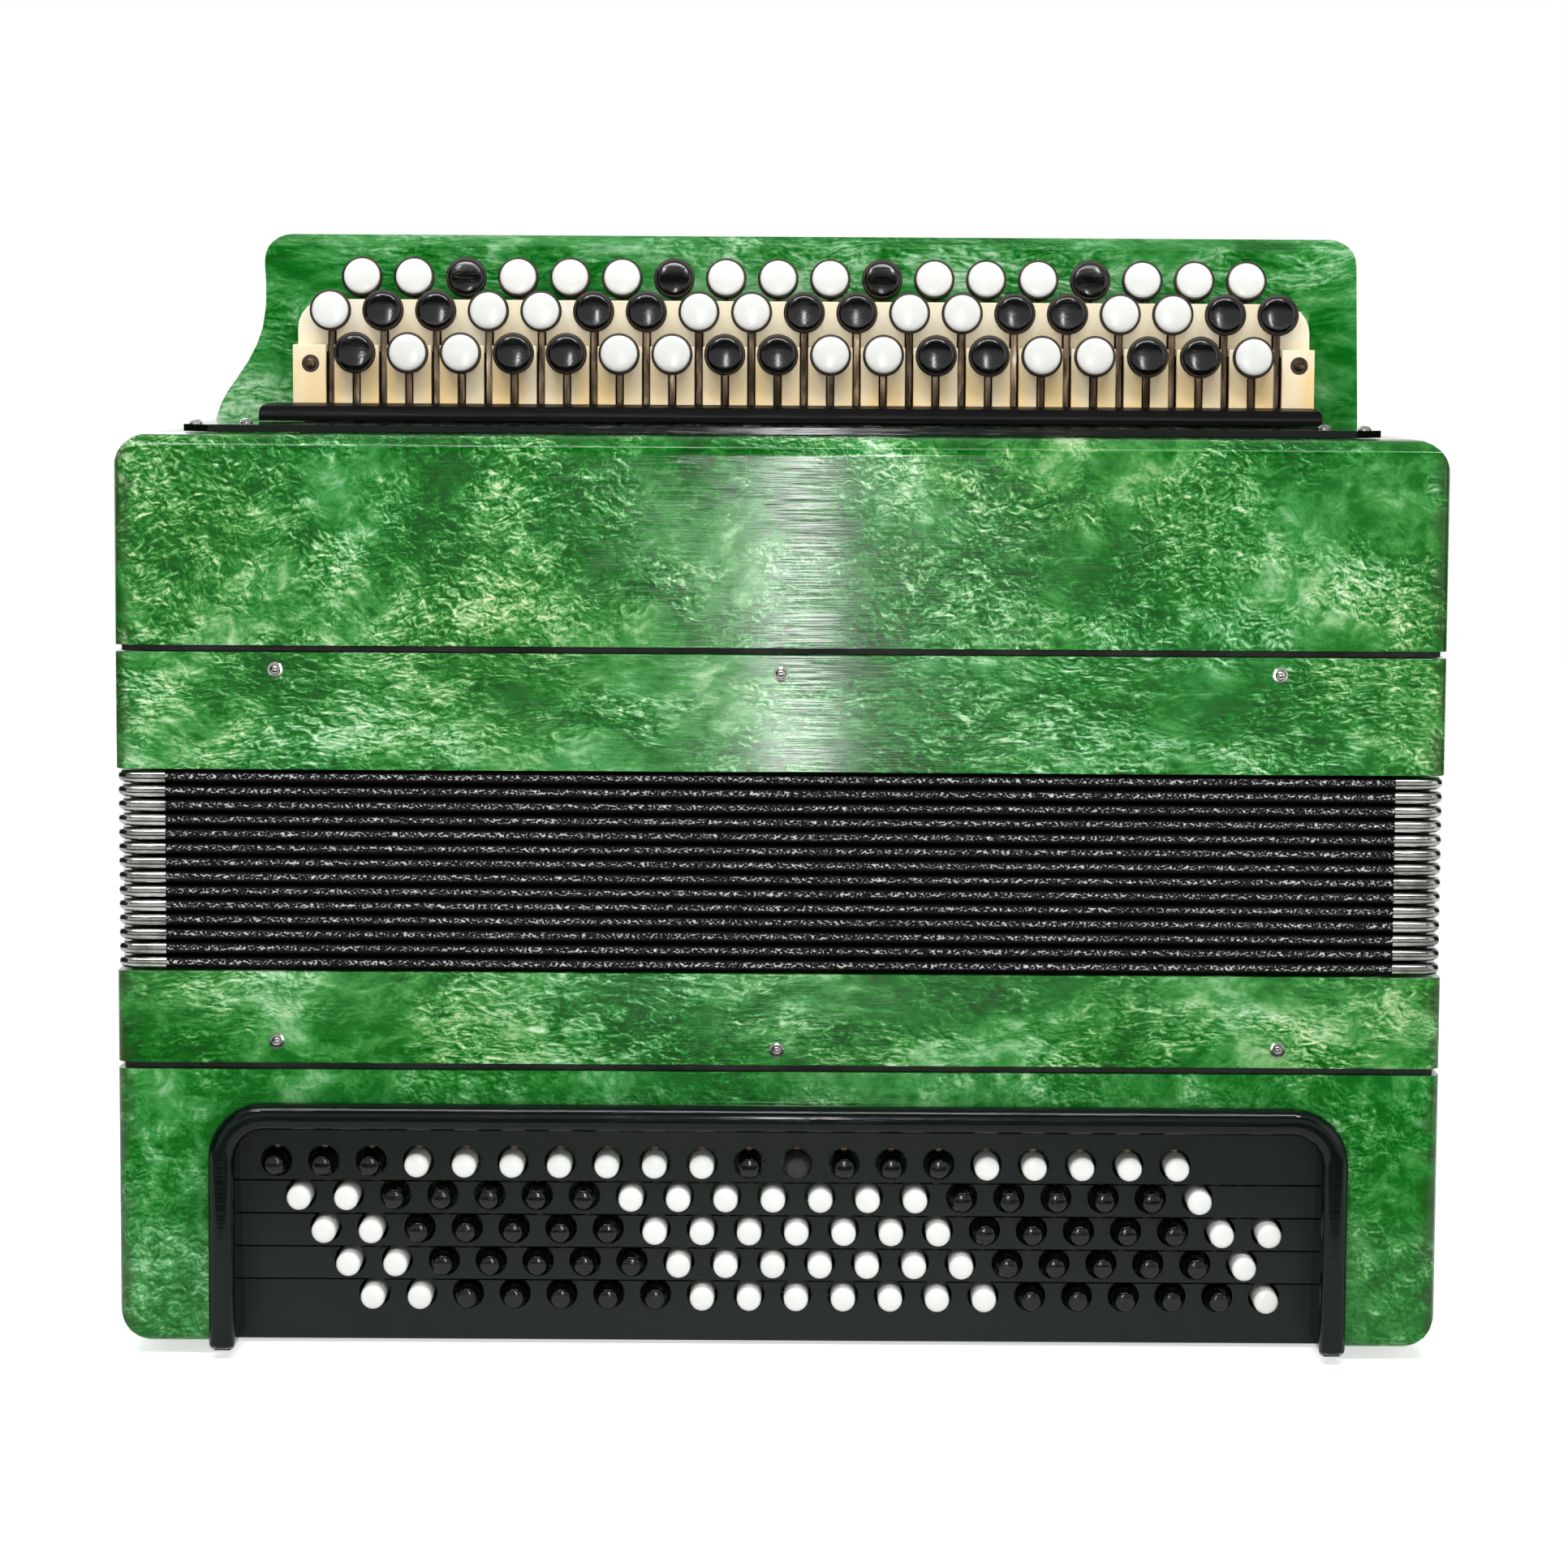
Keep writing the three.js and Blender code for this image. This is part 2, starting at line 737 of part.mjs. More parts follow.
// Fingerboard: flared front outline, leaning side profile and two cheeks that carry the comb
function fingerboard() {
  const top = boardBase + boardRise;
  const flareTop = boardBase + boardFlareHeight;
  const front = new THREE.Shape();
  front.moveTo(-boardLeft - boardFlare, boardBase);
  front.lineTo(boardRight, boardBase);
  front.lineTo(boardRight, top - boardCornerRound);
  front.absarc(boardRight - boardCornerRound, top - boardCornerRound, boardCornerRound, 0, Math.PI / 2);
  front.lineTo(-boardLeft + boardCornerRound, top);
  front.absarc(
    -boardLeft + boardCornerRound,
    top - boardCornerRound,
    boardCornerRound,
    Math.PI / 2,
    Math.PI,
  );
  front.lineTo(-boardLeft, flareTop);
  front.quadraticCurveTo(
    -boardLeft,
    boardBase + boardFlareHeight / 3,
    -boardLeft - boardFlare,
    boardBase,
  );
  const lean = (boardTopFront - boardFootFront) / boardRise;
  const side = new THREE.Shape();
  side.moveTo(boardFootFront, boardBase);
  side.lineTo(boardFootBack, boardBase);
  side.quadraticCurveTo(boardTopBack, boardBase + boardFlareHeight, boardTopBack, top - boardEdgeRound);
  side.absarc(boardTopBack - boardEdgeRound, top - boardEdgeRound, boardEdgeRound, 0, Math.PI / 2);
  side.lineTo(boardTopFront + boardEdgeRound, top);
  side.lineTo(boardTopFront - boardEdgeRound * lean, top - boardEdgeRound);
  const board = facing(front, boardFootFront - overrun, boardFootBack + overrun).intersect(
    profile(side, -half, half),
  );
  const seat = combFront + combSheet + seatGap;
  const cheek = outline([
    [seat, combBase],
    [boardFootFront + overrun, combBase],
    [boardFootFront + combTopRise * lean + overrun, boardBase + combTopRise - combSheet],
    [seat + combStep, boardBase + combTopRise - combSheet],
    [seat + combStep, combStepHeight - combSheet - seatGap],
    [seat, combStepHeight - combSheet - seatGap],
  ]);
  return join([
    board,
    profile(cheek, -combLeft + combShoulder, -combLeft + combShoulder + cheekWidth),
    profile(cheek, combRight - combShoulder - cheekWidth, combRight - combShoulder),
  ]);
}

// Comb: a two-step sheet with a slot for every lever of its two rows
const combBase = trebleTop + combFoot;
const combStepHeight = trebleTop + combStepRise;
const combTop = trebleTop + combTopRise;
function comb() {
  const back = combFront + combSheet;
  const sheet = profile(
    outline([
      [combFront, combBase],
      [back, combBase],
      [back, combStepHeight - combSheet],
      [back + combStep, combStepHeight - combSheet],
      [back + combStep, combTop],
      [combFront + combStep, combTop],
      [combFront + combStep, combStepHeight],
      [combFront, combStepHeight],
    ]),
    -combLeft,
    combRight,
  );
  const lower = rounded(-combLeft, combRight, combBase, combStepHeight, combCornerRound / 2, 0);
  const upper = rounded(
    -combLeft + combShoulder,
    combRight - combShoulder,
    combStepHeight - combSeamOverlap,
    combTop,
    0,
    combCornerRound,
  );
  const front = facing(lower, 0, bodyDepth).add(facing(upper, 0, bodyDepth));
  const slot = combSlot / 2;
  const slots = trebleRows.slice(1).flatMap((row) => {
    const top = Math.min(row.height, row === trebleRows[2] ? combStepHeight - combSheet : combTop);
    return [...Array(row.buttons).keys()].map((i) => {
      const x = row.firstX + i * treblePitch;
      return block(x - slot, x + slot, 0, bodyDepth, combBase - overrun, top);
    });
  });
  return cut(sheet.intersect(front), slots);
}
place(trebleSide, "fingerboard", fingerboard(), green);
place(trebleSide, "lever_comb", comb(), ivory);

// Guard bar: an angle that stands on the back edge of the grille
const guardBase = grilleTop + seatGap;
function guard() {
  const section = new THREE.Shape();
  const front = guardBack - guardUpstand;
  section.moveTo(guardFront, guardBase);
  section.lineTo(guardBack, guardBase);
  section.lineTo(guardBack, guardBase + guardHeight);
  section.lineTo(front, guardBase + guardHeight);
  section.quadraticCurveTo(guardFront, guardBase + guardHeight, guardFront, guardBase + guardHeight / 3);
  const ends = rounded(-guardLeft, guardRight, guardBase, guardBase + guardHeight, 0, guardRound);
  return profile(section, -guardLeft, guardRight, edgeSteps).intersect(
    facing(ends, guardFront - overrun, guardBack + overrun),
  );
}
place(trebleSide, "lever_guard_bar", guard(), blackGloss);

// Brackets and loops for the shoulder straps, on the back of the treble casing
const loopBack = bodyDepth + seatGap + bracketPlate + loopStandOff;
const loopHeight = trebleBase + loopRise;
for (const [side, x] of [
  ["left", -half + loopInset],
  ["right", half - loopInset],
]) {
  const plateBack = bodyDepth + seatGap;
  const shape = rounded(
    x - bracketWidth / 2,
    x + bracketWidth / 2,
    loopHeight - bracketHeight / 2,
    loopHeight + bracketHeight / 2,
    loopRod,
  );
  const ears = [-1, 1].map((way) => {
    const middle = x + way * earInset;
    return block(
      middle - earWidth / 2,
      middle + earWidth / 2,
      plateBack,
      bodyDepth + earReach,
      loopHeight - earHole * 1.4,
      loopHeight + earHole * 1.4,
    );
  });
  const bracket = join([facing(shape, plateBack, plateBack + bracketPlate, 2), ...ears]);
  const bore = rodX(earHole, x - loopWidth, x + loopWidth, loopBack, loopHeight, bearingHoleSides);
  place(trebleSide, "strap_bracket_" + side, bracket.subtract(bore), steel);
  const rod = loopRod / 2;
  const loopBase = loopHeight + rod - loopDrop;
  const outer = rounded(x - loopWidth / 2, x + loopWidth / 2, loopBase, loopHeight + rod, loopRod * 2, rod);
  outer.holes.push(
    rounded(
      x - loopWidth / 2 + loopRod,
      x + loopWidth / 2 - loopRod,
      loopBase + loopRod,
      loopHeight - rod,
      loopRod,
      0,
    ),
  );
  place(trebleSide, "strap_loop_" + side, facing(outer, loopBack - rod, loopBack + rod, 2), steel);
}

// Bass casing: rounded shell with an open floor for the cover's dish and a cut-out for the panel
const stepLine = (row) =>
  bassRowList[row].height + bassHoleRadius + (bassRowSpacing - bassHoleRadius * 2) * stepLineShare;
const endCoverTop = bassBase - seatGap;
function bassCasing() {
  const front = rounded(-half, half, bassBase, bassTop, bassCornerRound, 0);
  const side = rounded(0, bodyDepth, bassBase, bassTop, edgeRound, 0);
  const body = upright(plan(0), bassBase, bassTop, edgeSteps)
    .intersect(facing(front, -overrun, bodyDepth + overrun))
    .intersect(profile(side, -half - overrun, half + overrun, edgeSteps));
  const lip = ring(frameWall + seatGap, casingWall, bassTop - overrun, bassTop + lipHeight);
  const ledge = bassDeckBase - seatGap;
  const opening = panelHalfWidth + bezelLining + seatGap;
  const flange = panelHalfWidth + panelFlange + seatGap;
  const panelBack = panelFront + bassRows * panelStep + panelSheet;
  const dish = dishHalf + endCoverThickness + seatGap;
  return cut(body.add(lip), [
    upright(plan(casingWall), ledge, bassTop + lipHeight + overrun, 1),
    block(
      -half + chamberInset,
      half - chamberInset,
      casingWall,
      bodyDepth - chamberInset,
      bassBase + bassFloor,
      ledge + overrun,
    ),
    block(-opening, opening, -overrun, panelBack, 0, panelTop + bezelLining + seatGap),
    block(
      -flange,
      flange,
      panelFront - seatGap,
      panelBack,
      bassBase - overrun,
      panelTop + panelFlange + seatGap,
    ),
    block(
      -dish,
      dish,
      dishFront - endCoverThickness - seatGap,
      dishBack + endCoverThickness + seatGap,
      0,
      bassBase + bassFloor + overrun,
    ),
  ]);
}
place(bassSide, "bass_casing", bassCasing(), green);

// Stepped panel: one sheet that falls back a step for every row of buttons
function panelSteps(shift) {
  const points = [];
  bassRowList.forEach((row, index) => {
    const top = index === 0 ? panelTop + panelFlange : stepLine(index);
    const bottom = index === bassRows - 1 ? panelBottom : stepLine(index + 1);
    points.push([row.surface + shift, top], [row.surface + shift, bottom]);
  });
  return points;
}

function bassPanel() {
  const inner = [];
  bassRowList.forEach((row, index) => {
    const top = index === 0 ? panelTop + panelFlange : stepLine(index) + panelLedge;
    const bottom = index === bassRows - 1 ? panelBottom : stepLine(index + 1) + panelLedge;
    inner.push([row.surface + panelSheet, top], [row.surface + panelSheet, bottom]);
  });
  const section = outline([...panelSteps(0).reverse(), ...inner]);
  const reach = panelHalfWidth + panelFlange;
  const sheet = profile(section, -reach, reach);
  const holes = panelHoles.map(({ x, row }) => {
    const [y0, y1] = [row.surface - overrun, row.surface + panelSheet + overrun];
    return rodY(bassHoleRadius, y0, y1, x, row.height, bassHoleSides);
  });
  return cut(sheet, holes);
}
place(bassSide, "bass_button_panel", bassPanel(), blackSatin);

// Bezel: a round bead over the panel with a lining that runs back to the steps
function arch(width, inner, round, foot) {
  const [a, b] = [inner + width, inner];
  const [top, under] = [panelTop + (a - panelHalfWidth), panelTop + (b - panelHalfWidth)];
  const shape = new THREE.Shape();
  shape.moveTo(-a, foot);
  shape.lineTo(-b, foot);
  shape.lineTo(-b, under - round + width);
  shape.absarc(-b + round - width, under - round + width, round - width, Math.PI, Math.PI / 2, true);
  shape.lineTo(b - round + width, under);
  shape.absarc(b - round + width, under - round + width, round - width, Math.PI / 2, 0, true);
  shape.lineTo(b, foot);
  shape.lineTo(a, foot);
  shape.lineTo(a, top - round);
  shape.absarc(a - round, top - round, round, 0, Math.PI / 2);
  shape.lineTo(-a + round, top);
  shape.absarc(-a + round, top - round, round, Math.PI / 2, Math.PI);
  return shape;
}

function bezel() {
  const bevel = bezelWidth / 4;
  const rim = arch(bezelWidth - 2 * bevel, panelHalfWidth + bevel, bezelRound, bezelFoot + bevel);
  const bead = new THREE.ExtrudeGeometry(rim, {
    depth: bezelProud - seatGap - bevel * 2,
    bevelThickness: bevel,
    bevelSize: bevel,
    bevelSegments: 1,
    curveSegments: cornerSteps,
  });
  const front = solid(bead.rotateX(Math.PI / 2).translate(0, -seatGap - bevel, 0));
  const deepest = bassRowList[bassRows - 1].surface;
  const lining = facing(
    arch(bezelLining, panelHalfWidth, bezelRound - bezelWidth + bezelLining, bezelFoot + bevel),
    -seatGap * 2 - bevel,
    deepest,
  );
  const behind = outline([
    ...panelSteps(-seatGap).reverse(),
    [bodyDepth, panelTop + panelFlange],
    [bodyDepth, panelBottom],
  ]);
  return front.add(lining.subtract(profile(behind, -half, half)));
}
place(bassSide, "bass_bezel", bezel(), blackGloss);

// Bass rows: plungers on levers that are threaded on one axle per row
const midBearing = airRow.firstX + (bassButtons - 1) * bassPitch + bassPitch / 4;
const bassBearings = {
  left: bassFirstX - bassBearingOutset,
  middle: midBearing,
  right: airX + bassBearingOutset,
};

function bassLever(row, x) {
  const [w, d] = [leverWidth / 2, bassLeverDepth / 2];
  return [
    rodY(bassButtonRadius, row.surface - bassButtonProud, row.leverBack, x, row.height, bassCapSides),
    block(x - w, x + w, row.leverBack - d, row.leverBack + d, row.height - w, bassAxleHeight),
  ];
}

function bassAxle(row, x0, x1) {
  return rodX(axleRadius, x0, x1, row.leverBack, bassAxleHeight);
}

const bearingReach = bassBearingThickness / 2;
bassRowList.forEach((row, index) => {
  const end = index > 2 ? bassBearings.right : bassBearings.middle;
  const overhang = index > 2 ? bearingReach : 0;
  const levers = [...Array(bassButtons).keys()].flatMap((i) =>
    bassLever(row, row.firstX + i * bassPitch),
  );
  const axle = bassAxle(row, bassBearings.left - bearingReach, end + overhang - seatGap / 2);
  place(bassSide, row.name, join([axle, ...levers]), blackGloss);
});
place(
  bassSide,
  "air_button",
  join([
    bassAxle(airRow, bassBearings.middle + seatGap / 2, bassBearings.right + bearingReach),
    ...bassLever(airRow, airX),
  ]),
  white,
);

const bassAxles = bassRowList.map((row) => ({ y: row.leverBack, z: bassAxleHeight }));
for (const [side, x] of Object.entries(bassBearings)) {
  const rods = side === "right" ? bassAxles.slice(2) : bassAxles;
  place(
    bassSide,
    "bass_bearing_" + side,
    bearing(
      x,
      bassBearingThickness,
      rods,
      axleHole + seatGap,
      bassAxleHeight - bassBearingDepth,
      bassDeckBase - seatGap,
      axleHole,
    ),
    steel,
  );
}

// Bass deck with lugs for the pallet bank and the air valve
const palletTop = bassDeckBase - seatGap;
const bankLug = (bankPallets / 2) * bankPitch + lugHalf * 2;
const bankFirst = (-(bankPallets - 1) * bankPitch) / 2;
const airLugs = [airValveX - airValveWidth / 2 - lugHalf, airValveX + airValveWidth / 2 + lugHalf / 2];
const lugXs = [-bankLug, bankLug, ...airLugs];
function lug(x) {
  const w = bearingThickness / 2;
  return block(
    x - w,
    x + w,
    bankAxleBack - lugHalf,
    bankAxleBack + lugHalf,
    bankAxleHeight - lugHalf,
    bassDeckBase + overrun,
  );
}

function bassDeck() {
  const plate = join([deck(bassDeckBase, bassDeckTop), ...lugXs.map(lug)]);
  const holes = lugXs.map((x) =>
    rodX(
      axleHole,
      x - bearingThickness,
      x + bearingThickness,
      bankAxleBack,
      bankAxleHeight,
      bearingHoleSides,
    ),
  );
  const [w, l] = [bankPalletWidth / 4, bankPalletLength / 4];
  for (let i = 0; i < bankPallets; i++) {
    const x = bankFirst + i * bankPitch;
    holes.push(
      block(
        x - w,
        x + w,
        bankPalletBack - l,
        bankPalletBack + l,
        bassDeckBase - overrun,
        bassDeckTop + overrun,
      ),
    );
  }
  const air = airValveWidth / 3;
  holes.push(
    block(
      airValveX - air,
      airValveX + air,
      bankPalletBack - air,
      bankPalletBack + air,
      bassDeckBase - overrun,
      bassDeckTop + overrun,
    ),
  );
  return cut(plate, holes);
}
place(bassSide, "bass_deck", bassDeck(), wood);

function palletArm(x, width, length) {
  const [w, bar] = [leverWidth / 2, barHeight / 2];
  return [
    block(x - w, x + w, bankAxleBack, bankPalletBack, bankAxleHeight - bar, bankAxleHeight + bar),
    block(
      x - w,
      x + w,
      bankPalletBack - length / 4,
      bankPalletBack + length / 4,
      bankAxleHeight,
      palletTop - palletThickness / 2,
    ),
    block(
      x - width / 2,
      x + width / 2,
      bankPalletBack - length / 2,
      bankPalletBack + length / 2,
      palletTop - palletThickness,
      palletTop,
    ),
  ];
}

const lugReach = bearingThickness / 2;
place(
  bassSide,
  "bass_pallet_bank",
  join([
    rodX(axleRadius, -bankLug - lugReach, bankLug + lugReach, bankAxleBack, bankAxleHeight),
    ...[...Array(bankPallets).keys()].flatMap((i) =>
      palletArm(bankFirst + i * bankPitch, bankPalletWidth, bankPalletLength),
    ),
  ]),
  wood,
);
place(
  bassSide,
  "air_valve",
  join([
    rodX(axleRadius, airLugs[0] - lugReach, airLugs[1] + lugReach, bankAxleBack, bankAxleHeight),
    ...palletArm(airValveX, airValveWidth, airValveWidth),
  ]),
  wood,
);

// Dished end cover, hand strap with its anchors, and feet
const endCoverBase = endCoverTop - endCoverThickness;
const endCoverBack = bodyDepth - endCoverBackInset;
function endCover() {
  const shape = rounded(-endCoverHalf, endCoverHalf, endCoverFront, endCoverBack, bassCornerRound);
  const t = endCoverThickness;
  const dishTop = endCoverBase + dishDepth;
  return cut(
    upright(shape, endCoverBase, endCoverTop).add(
      block(-dishHalf - t, dishHalf + t, dishFront - t, dishBack + t, endCoverBase, dishTop + t),
    ),
    [block(-dishHalf, dishHalf, dishFront, dishBack, endCoverBase - overrun, dishTop)],
  );
}
place(bassSide, "bass_end_cover", endCover(), blackSatin);

const strapFront = (dishFront + dishBack - strapWidth) / 2;
const strapTop = strapLift + strapThickness;
place(
  bassSide,
  "hand_strap",
  upright(
    rounded(-strapHalf, strapHalf, strapFront, strapFront + strapWidth, edgeRound),
    strapLift,
    strapTop,
  ),
  leather,
);
for (const [side, x] of [
  ["left", -strapHalf],
  ["right", strapHalf - anchorLength],
]) {
  place(
    bassSide,
    "strap_anchor_" + side,
    block(
      x,
      x + anchorLength,
      strapFront,
      strapFront + strapWidth,
      strapTop + seatGap,
      endCoverBase + dishDepth - seatGap,
    ),
    steel,
  );
}

for (const [end, y] of [
  ["front", footFront],
  ["back", bodyDepth - footBackInset],
]) {
  for (const [side, x] of [
    ["left", -half + footInset],
    ["right", half - footInset],
  ]) {
    const foot = new THREE.CylinderGeometry(footRadius, footRadius * 0.9, footHeight, 16);
    place(
      bassSide,
      ["foot", end, side].join("_"),
      solid(foot.rotateX(Math.PI / 2).translate(x, y, footHeight / 2)),
      rubber,
    );
  }
}

// The row of loops stands out at the back as the bezel does at the front; the part is centred between
const frontReach = bezelProud;
const backReach = earReach;
bayan.position.y = -(bodyDepth + backReach - frontReach) / 2;

export default bayan;
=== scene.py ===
"""A green pearl bayan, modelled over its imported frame: covers, buttons, bellows, light and camera."""
import math

import bmesh
import bpy
from mathutils import Matrix, Vector


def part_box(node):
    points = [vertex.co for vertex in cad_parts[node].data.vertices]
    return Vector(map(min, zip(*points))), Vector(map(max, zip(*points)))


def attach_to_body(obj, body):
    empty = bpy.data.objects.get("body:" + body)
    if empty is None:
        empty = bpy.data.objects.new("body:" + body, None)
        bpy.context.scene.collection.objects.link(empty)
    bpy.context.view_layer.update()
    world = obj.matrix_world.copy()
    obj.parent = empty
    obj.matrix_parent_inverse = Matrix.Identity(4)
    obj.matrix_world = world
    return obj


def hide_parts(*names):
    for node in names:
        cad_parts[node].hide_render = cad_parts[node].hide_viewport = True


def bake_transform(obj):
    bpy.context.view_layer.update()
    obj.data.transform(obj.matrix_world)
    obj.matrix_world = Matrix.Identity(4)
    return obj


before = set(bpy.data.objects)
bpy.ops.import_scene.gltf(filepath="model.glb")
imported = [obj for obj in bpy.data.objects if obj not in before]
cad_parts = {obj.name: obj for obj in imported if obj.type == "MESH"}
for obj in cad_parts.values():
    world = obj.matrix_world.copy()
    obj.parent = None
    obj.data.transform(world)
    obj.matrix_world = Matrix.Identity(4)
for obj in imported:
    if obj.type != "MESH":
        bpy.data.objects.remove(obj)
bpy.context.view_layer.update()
mm = 0.001
# How far, in millimetres, a point may lie from the line that it is chosen by
hair = 0.1

# Camera, in millimetres and degrees
camera_distance = 1430
camera_side = 1.2
camera_height = 325.4
camera_pitch = 5.453
camera_roll = 0.33
camera_lens = 102.09
camera_sensor = 36

# Treble buttons; "behind" is counted from the front of the casing
treble_pitch = 18
treble_first = -145.8
rim_radius = 7.05
rim_bevel = 0.3
cap_radius = 6.1
cap_edge = 3.1
cap_depth = 4
treble_rows = {
    "top": dict(z=353.6, behind=116.6, tilt=12, shift=0, caps="WWBWWWBWWWBWWWBWWW"),
    "middle": dict(z=341.5, behind=96.1, tilt=3, shift=-0.5, caps="WBBWWBBWWBBWWBBWWBB"),
    "low": dict(z=327.1, behind=88.2, tilt=4, shift=0, caps="BWWBBWWBBWWBBWWBBW"),
}

# Bass buttons and their panel of five steps
bass_pitch = 15.5
bass_first = -164.4
bass_top_row = 63.2
bass_row_spacing = 11.55
bass_radius = 4.03
bass_proud = 9.05
lever_behind = 5.3
lever_behind_step = 2
panel_front = 9
panel_step = 3
panel_sheet = 1.2
ledge_sheet = 0.9
ledge_inset = 0.4
step_line_rise = 5.28
hole_radius = 5.2
step_groove = 1.1
bass_bodies = [f"bass {number} row" for number in ("first", "second", "third", "fourth", "fifth")]
bass_caps = ["BBBWWWWWWWBKBBBWWWWW"] + ["WWBBBBBWWWWWWWBBBBBW"] * 4
air_row = 2

# Bezel's bead, counted from its front
bead_reach = 2.6
bead_round = 1.5
foot_round = 2

# Fingerboard's flared left edge: how far it stands out at heights above its foot, and the heights
# between which the frame's edge is straight
flare_curve = (
    (0, 16.8), (3.4, 15.9), (7.7, 14.6), (12, 12.4), (16.8, 9.1), (22.6, 5.3), (28.4, 2.4), (34, 0.5),
    (42, -0.6), (50, -0.5), (56, 0),
)
flare_straight = (38, 62)

# Bellows
pleats = 14
pleat_depth = 14
bellows_edge = 0.3
bellows_corner = 5
bead_depth = 1.5
bead_share = 0.37
bead_steps = 8
ridge_cuts = 60
bellows_wave = 0.5
waved_from, waved_to = 0.2, 0.8
corner_reach = 15.5
corner_lip = 2
corner_lift = 0.3
corner_share = 0.42
corner_sheet = 0.3

# Pins and screws: places as (x, z) on the front, or (x, distance behind it) on the grille
pin_spots = {"treble": ((-163, 225), (0, 224.5), (161, 225)), "bass": ((-163, 104), (-0.7, 102), (162, 103))}
grille_screw_spots = ((-190.7, 20), (189.3, 20), (-177.3, 45), (179.2, 45))
comb_screw_spots = ((-161.5, 323.2), (176.5, 324.2))

# Dark sheet behind the comb: painted shade for the hollow between its teeth
shade_sheet_inset = 4
shade_sheet_behind = 3.6
shade_sheet_thickness = 0.15

# Heights, in metres, at which a material changes: amber low on the comb, rods above the deck
amber_from, amber_full = 0.337, 0.316
deck_face, rod_foot = 0.2812, 0.2816

# Lamps, in metres and watts: name, place, point aimed at, size and power
lamps = (
    ("overhead_light", (-0.1, -1.05, 1.6), (0, -0.1, 0.25), (1.4, 0.2), 19),
    ("tall_light", (0.012, -1.75, 0.26), (0, -0.1, 0.22), (0.05, 0.6), 5.3),
    ("spark", (-0.45, -1, 1.2), (0, -0.1, 0.2), (0.12, 0.12), 2),
    ("spark", (0.45, -1, 1.2), (0, -0.1, 0.2), (0.12, 0.12), 2),
    ("side_light", (1.7, -1.1, 0.9), (0, 0, 0.2), (1.2, 1.2), 4),
    ("rear_light", (-0.9, 1.9, 1.3), (0, 0, 0.2), (1.2, 1.2), 14),
)
world_level = 0.4
floor_glow = 0.62

# Black cards that polished pieces reflect, in metres: name and two opposite corners
cards = (
    ("left_card", (-1.2, -0.9, 0.01), (-1.19, 0.9, 1.2)),
    ("right_card", (1.19, -0.2, 0.01), (1.2, 0.9, 1.2)),
    ("upper_card", (-0.9, -1.05, 0.62), (0.9, -1.04, 1.0)),
    ("lower_card", (-0.9, -0.8, 0.004), (0.9, -0.3, 0.006)),
)

# Pieces whose shape the frame already has: node, body, slot, finish and width of the rounded edges
rigid_pieces = (
    ("treble_casing", "treble side", "box_wood", "cover", 0.8),
    ("treble_bellows_frame", "treble side", "box_wood", "frame", 0.6),
    ("bass_bellows_frame", "bass side", "box_wood", "frame", 0.6),
    ("bass_casing", "bass side", "box_wood", "bass", 0.8),
    ("fingerboard", "treble side", "box_wood", "board", 1.0),
    ("treble_grille", "treble side", "black_gloss_plastic", "gloss", 0.5),
    ("lever_guard_bar", "treble side", "black_gloss_plastic", "guard", 1.2),
    ("lever_comb", "treble side", "ivory_plastic", "ivory", 0.3),
    ("bass_bezel", "bass side", "black_gloss_plastic", "gloss", 0.5),
    ("strap_bracket_left", "treble side", "nickel", "nickel", 0.3),
    ("strap_bracket_right", "treble side", "nickel", "nickel", 0.3),
    ("strap_loop_left", "left strap loop", "nickel", "nickel", 0.6),
    ("strap_loop_right", "right strap loop", "nickel", "nickel", 0.6),
    ("bass_end_cover", "bass side", "black_satin_plastic", "satin", 0.5),
    ("hand_strap", "bass side", "strap_leather", "strap", 0.6),
    ("strap_anchor_left", "bass side", "steel", "steel", 0.4),
    ("strap_anchor_right", "bass side", "steel", "steel", 0.4),
    ("foot_front_left", "bass side", "foot_rubber", "rubber", 0.4),
    ("foot_front_right", "bass side", "foot_rubber", "rubber", 0.4),
    ("foot_back_left", "bass side", "foot_rubber", "rubber", 0.4),
    ("foot_back_right", "bass side", "foot_rubber", "rubber", 0.4),
)

# Frame nodes that are only painted: words in their names and a finish
painted_nodes = (("gasket", "gasket"), ("bearing", "steel"), ("deck reed bank valve", "wood"))

# Front, back and half the width of the body
body_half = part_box("treble_casing")[1].x / mm
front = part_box("treble_casing")[0].y / mm
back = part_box("treble_casing")[1].y / mm


# Selecting and editing
def pick(*objects):
    """Selects these objects alone and makes the first one active."""
    bpy.ops.object.select_all(action="DESELECT")
    for obj in objects:
        obj.select_set(True)
    bpy.context.view_layer.objects.active = objects[0]


def open_mesh(obj, elements="FACE"):
    pick(obj)
    bpy.ops.object.mode_set(mode="EDIT")
    bpy.ops.mesh.select_mode(type=elements)
    bpy.ops.mesh.select_all(action="SELECT")


def close_mesh():
    bpy.ops.object.mode_set(mode="OBJECT")


def choose(obj, test, elements="faces"):
    """Selects the faces, edges or corners that pass a test on their place in millimetres."""
    bpy.ops.mesh.select_all(action="DESELECT")
    mesh = bmesh.from_edit_mesh(obj.data)
    for element in getattr(mesh, elements):
        corners = [element] if elements == "verts" else element.verts
        element.select_set(all(test(corner.co / mm) for corner in corners))
    bmesh.update_edit_mesh(obj.data)


def face_outwards():
    bpy.ops.mesh.select_all(action="SELECT")
    bpy.ops.mesh.normals_make_consistent(inside=False)


def apply(obj, name, kind, **settings):
    """Adds a modifier and applies it."""
    pick(obj)
    modifier = obj.modifiers.new(name, kind)
    for key, value in settings.items():
        setattr(modifier, key, value)
    bpy.ops.object.modifier_apply(modifier=name)


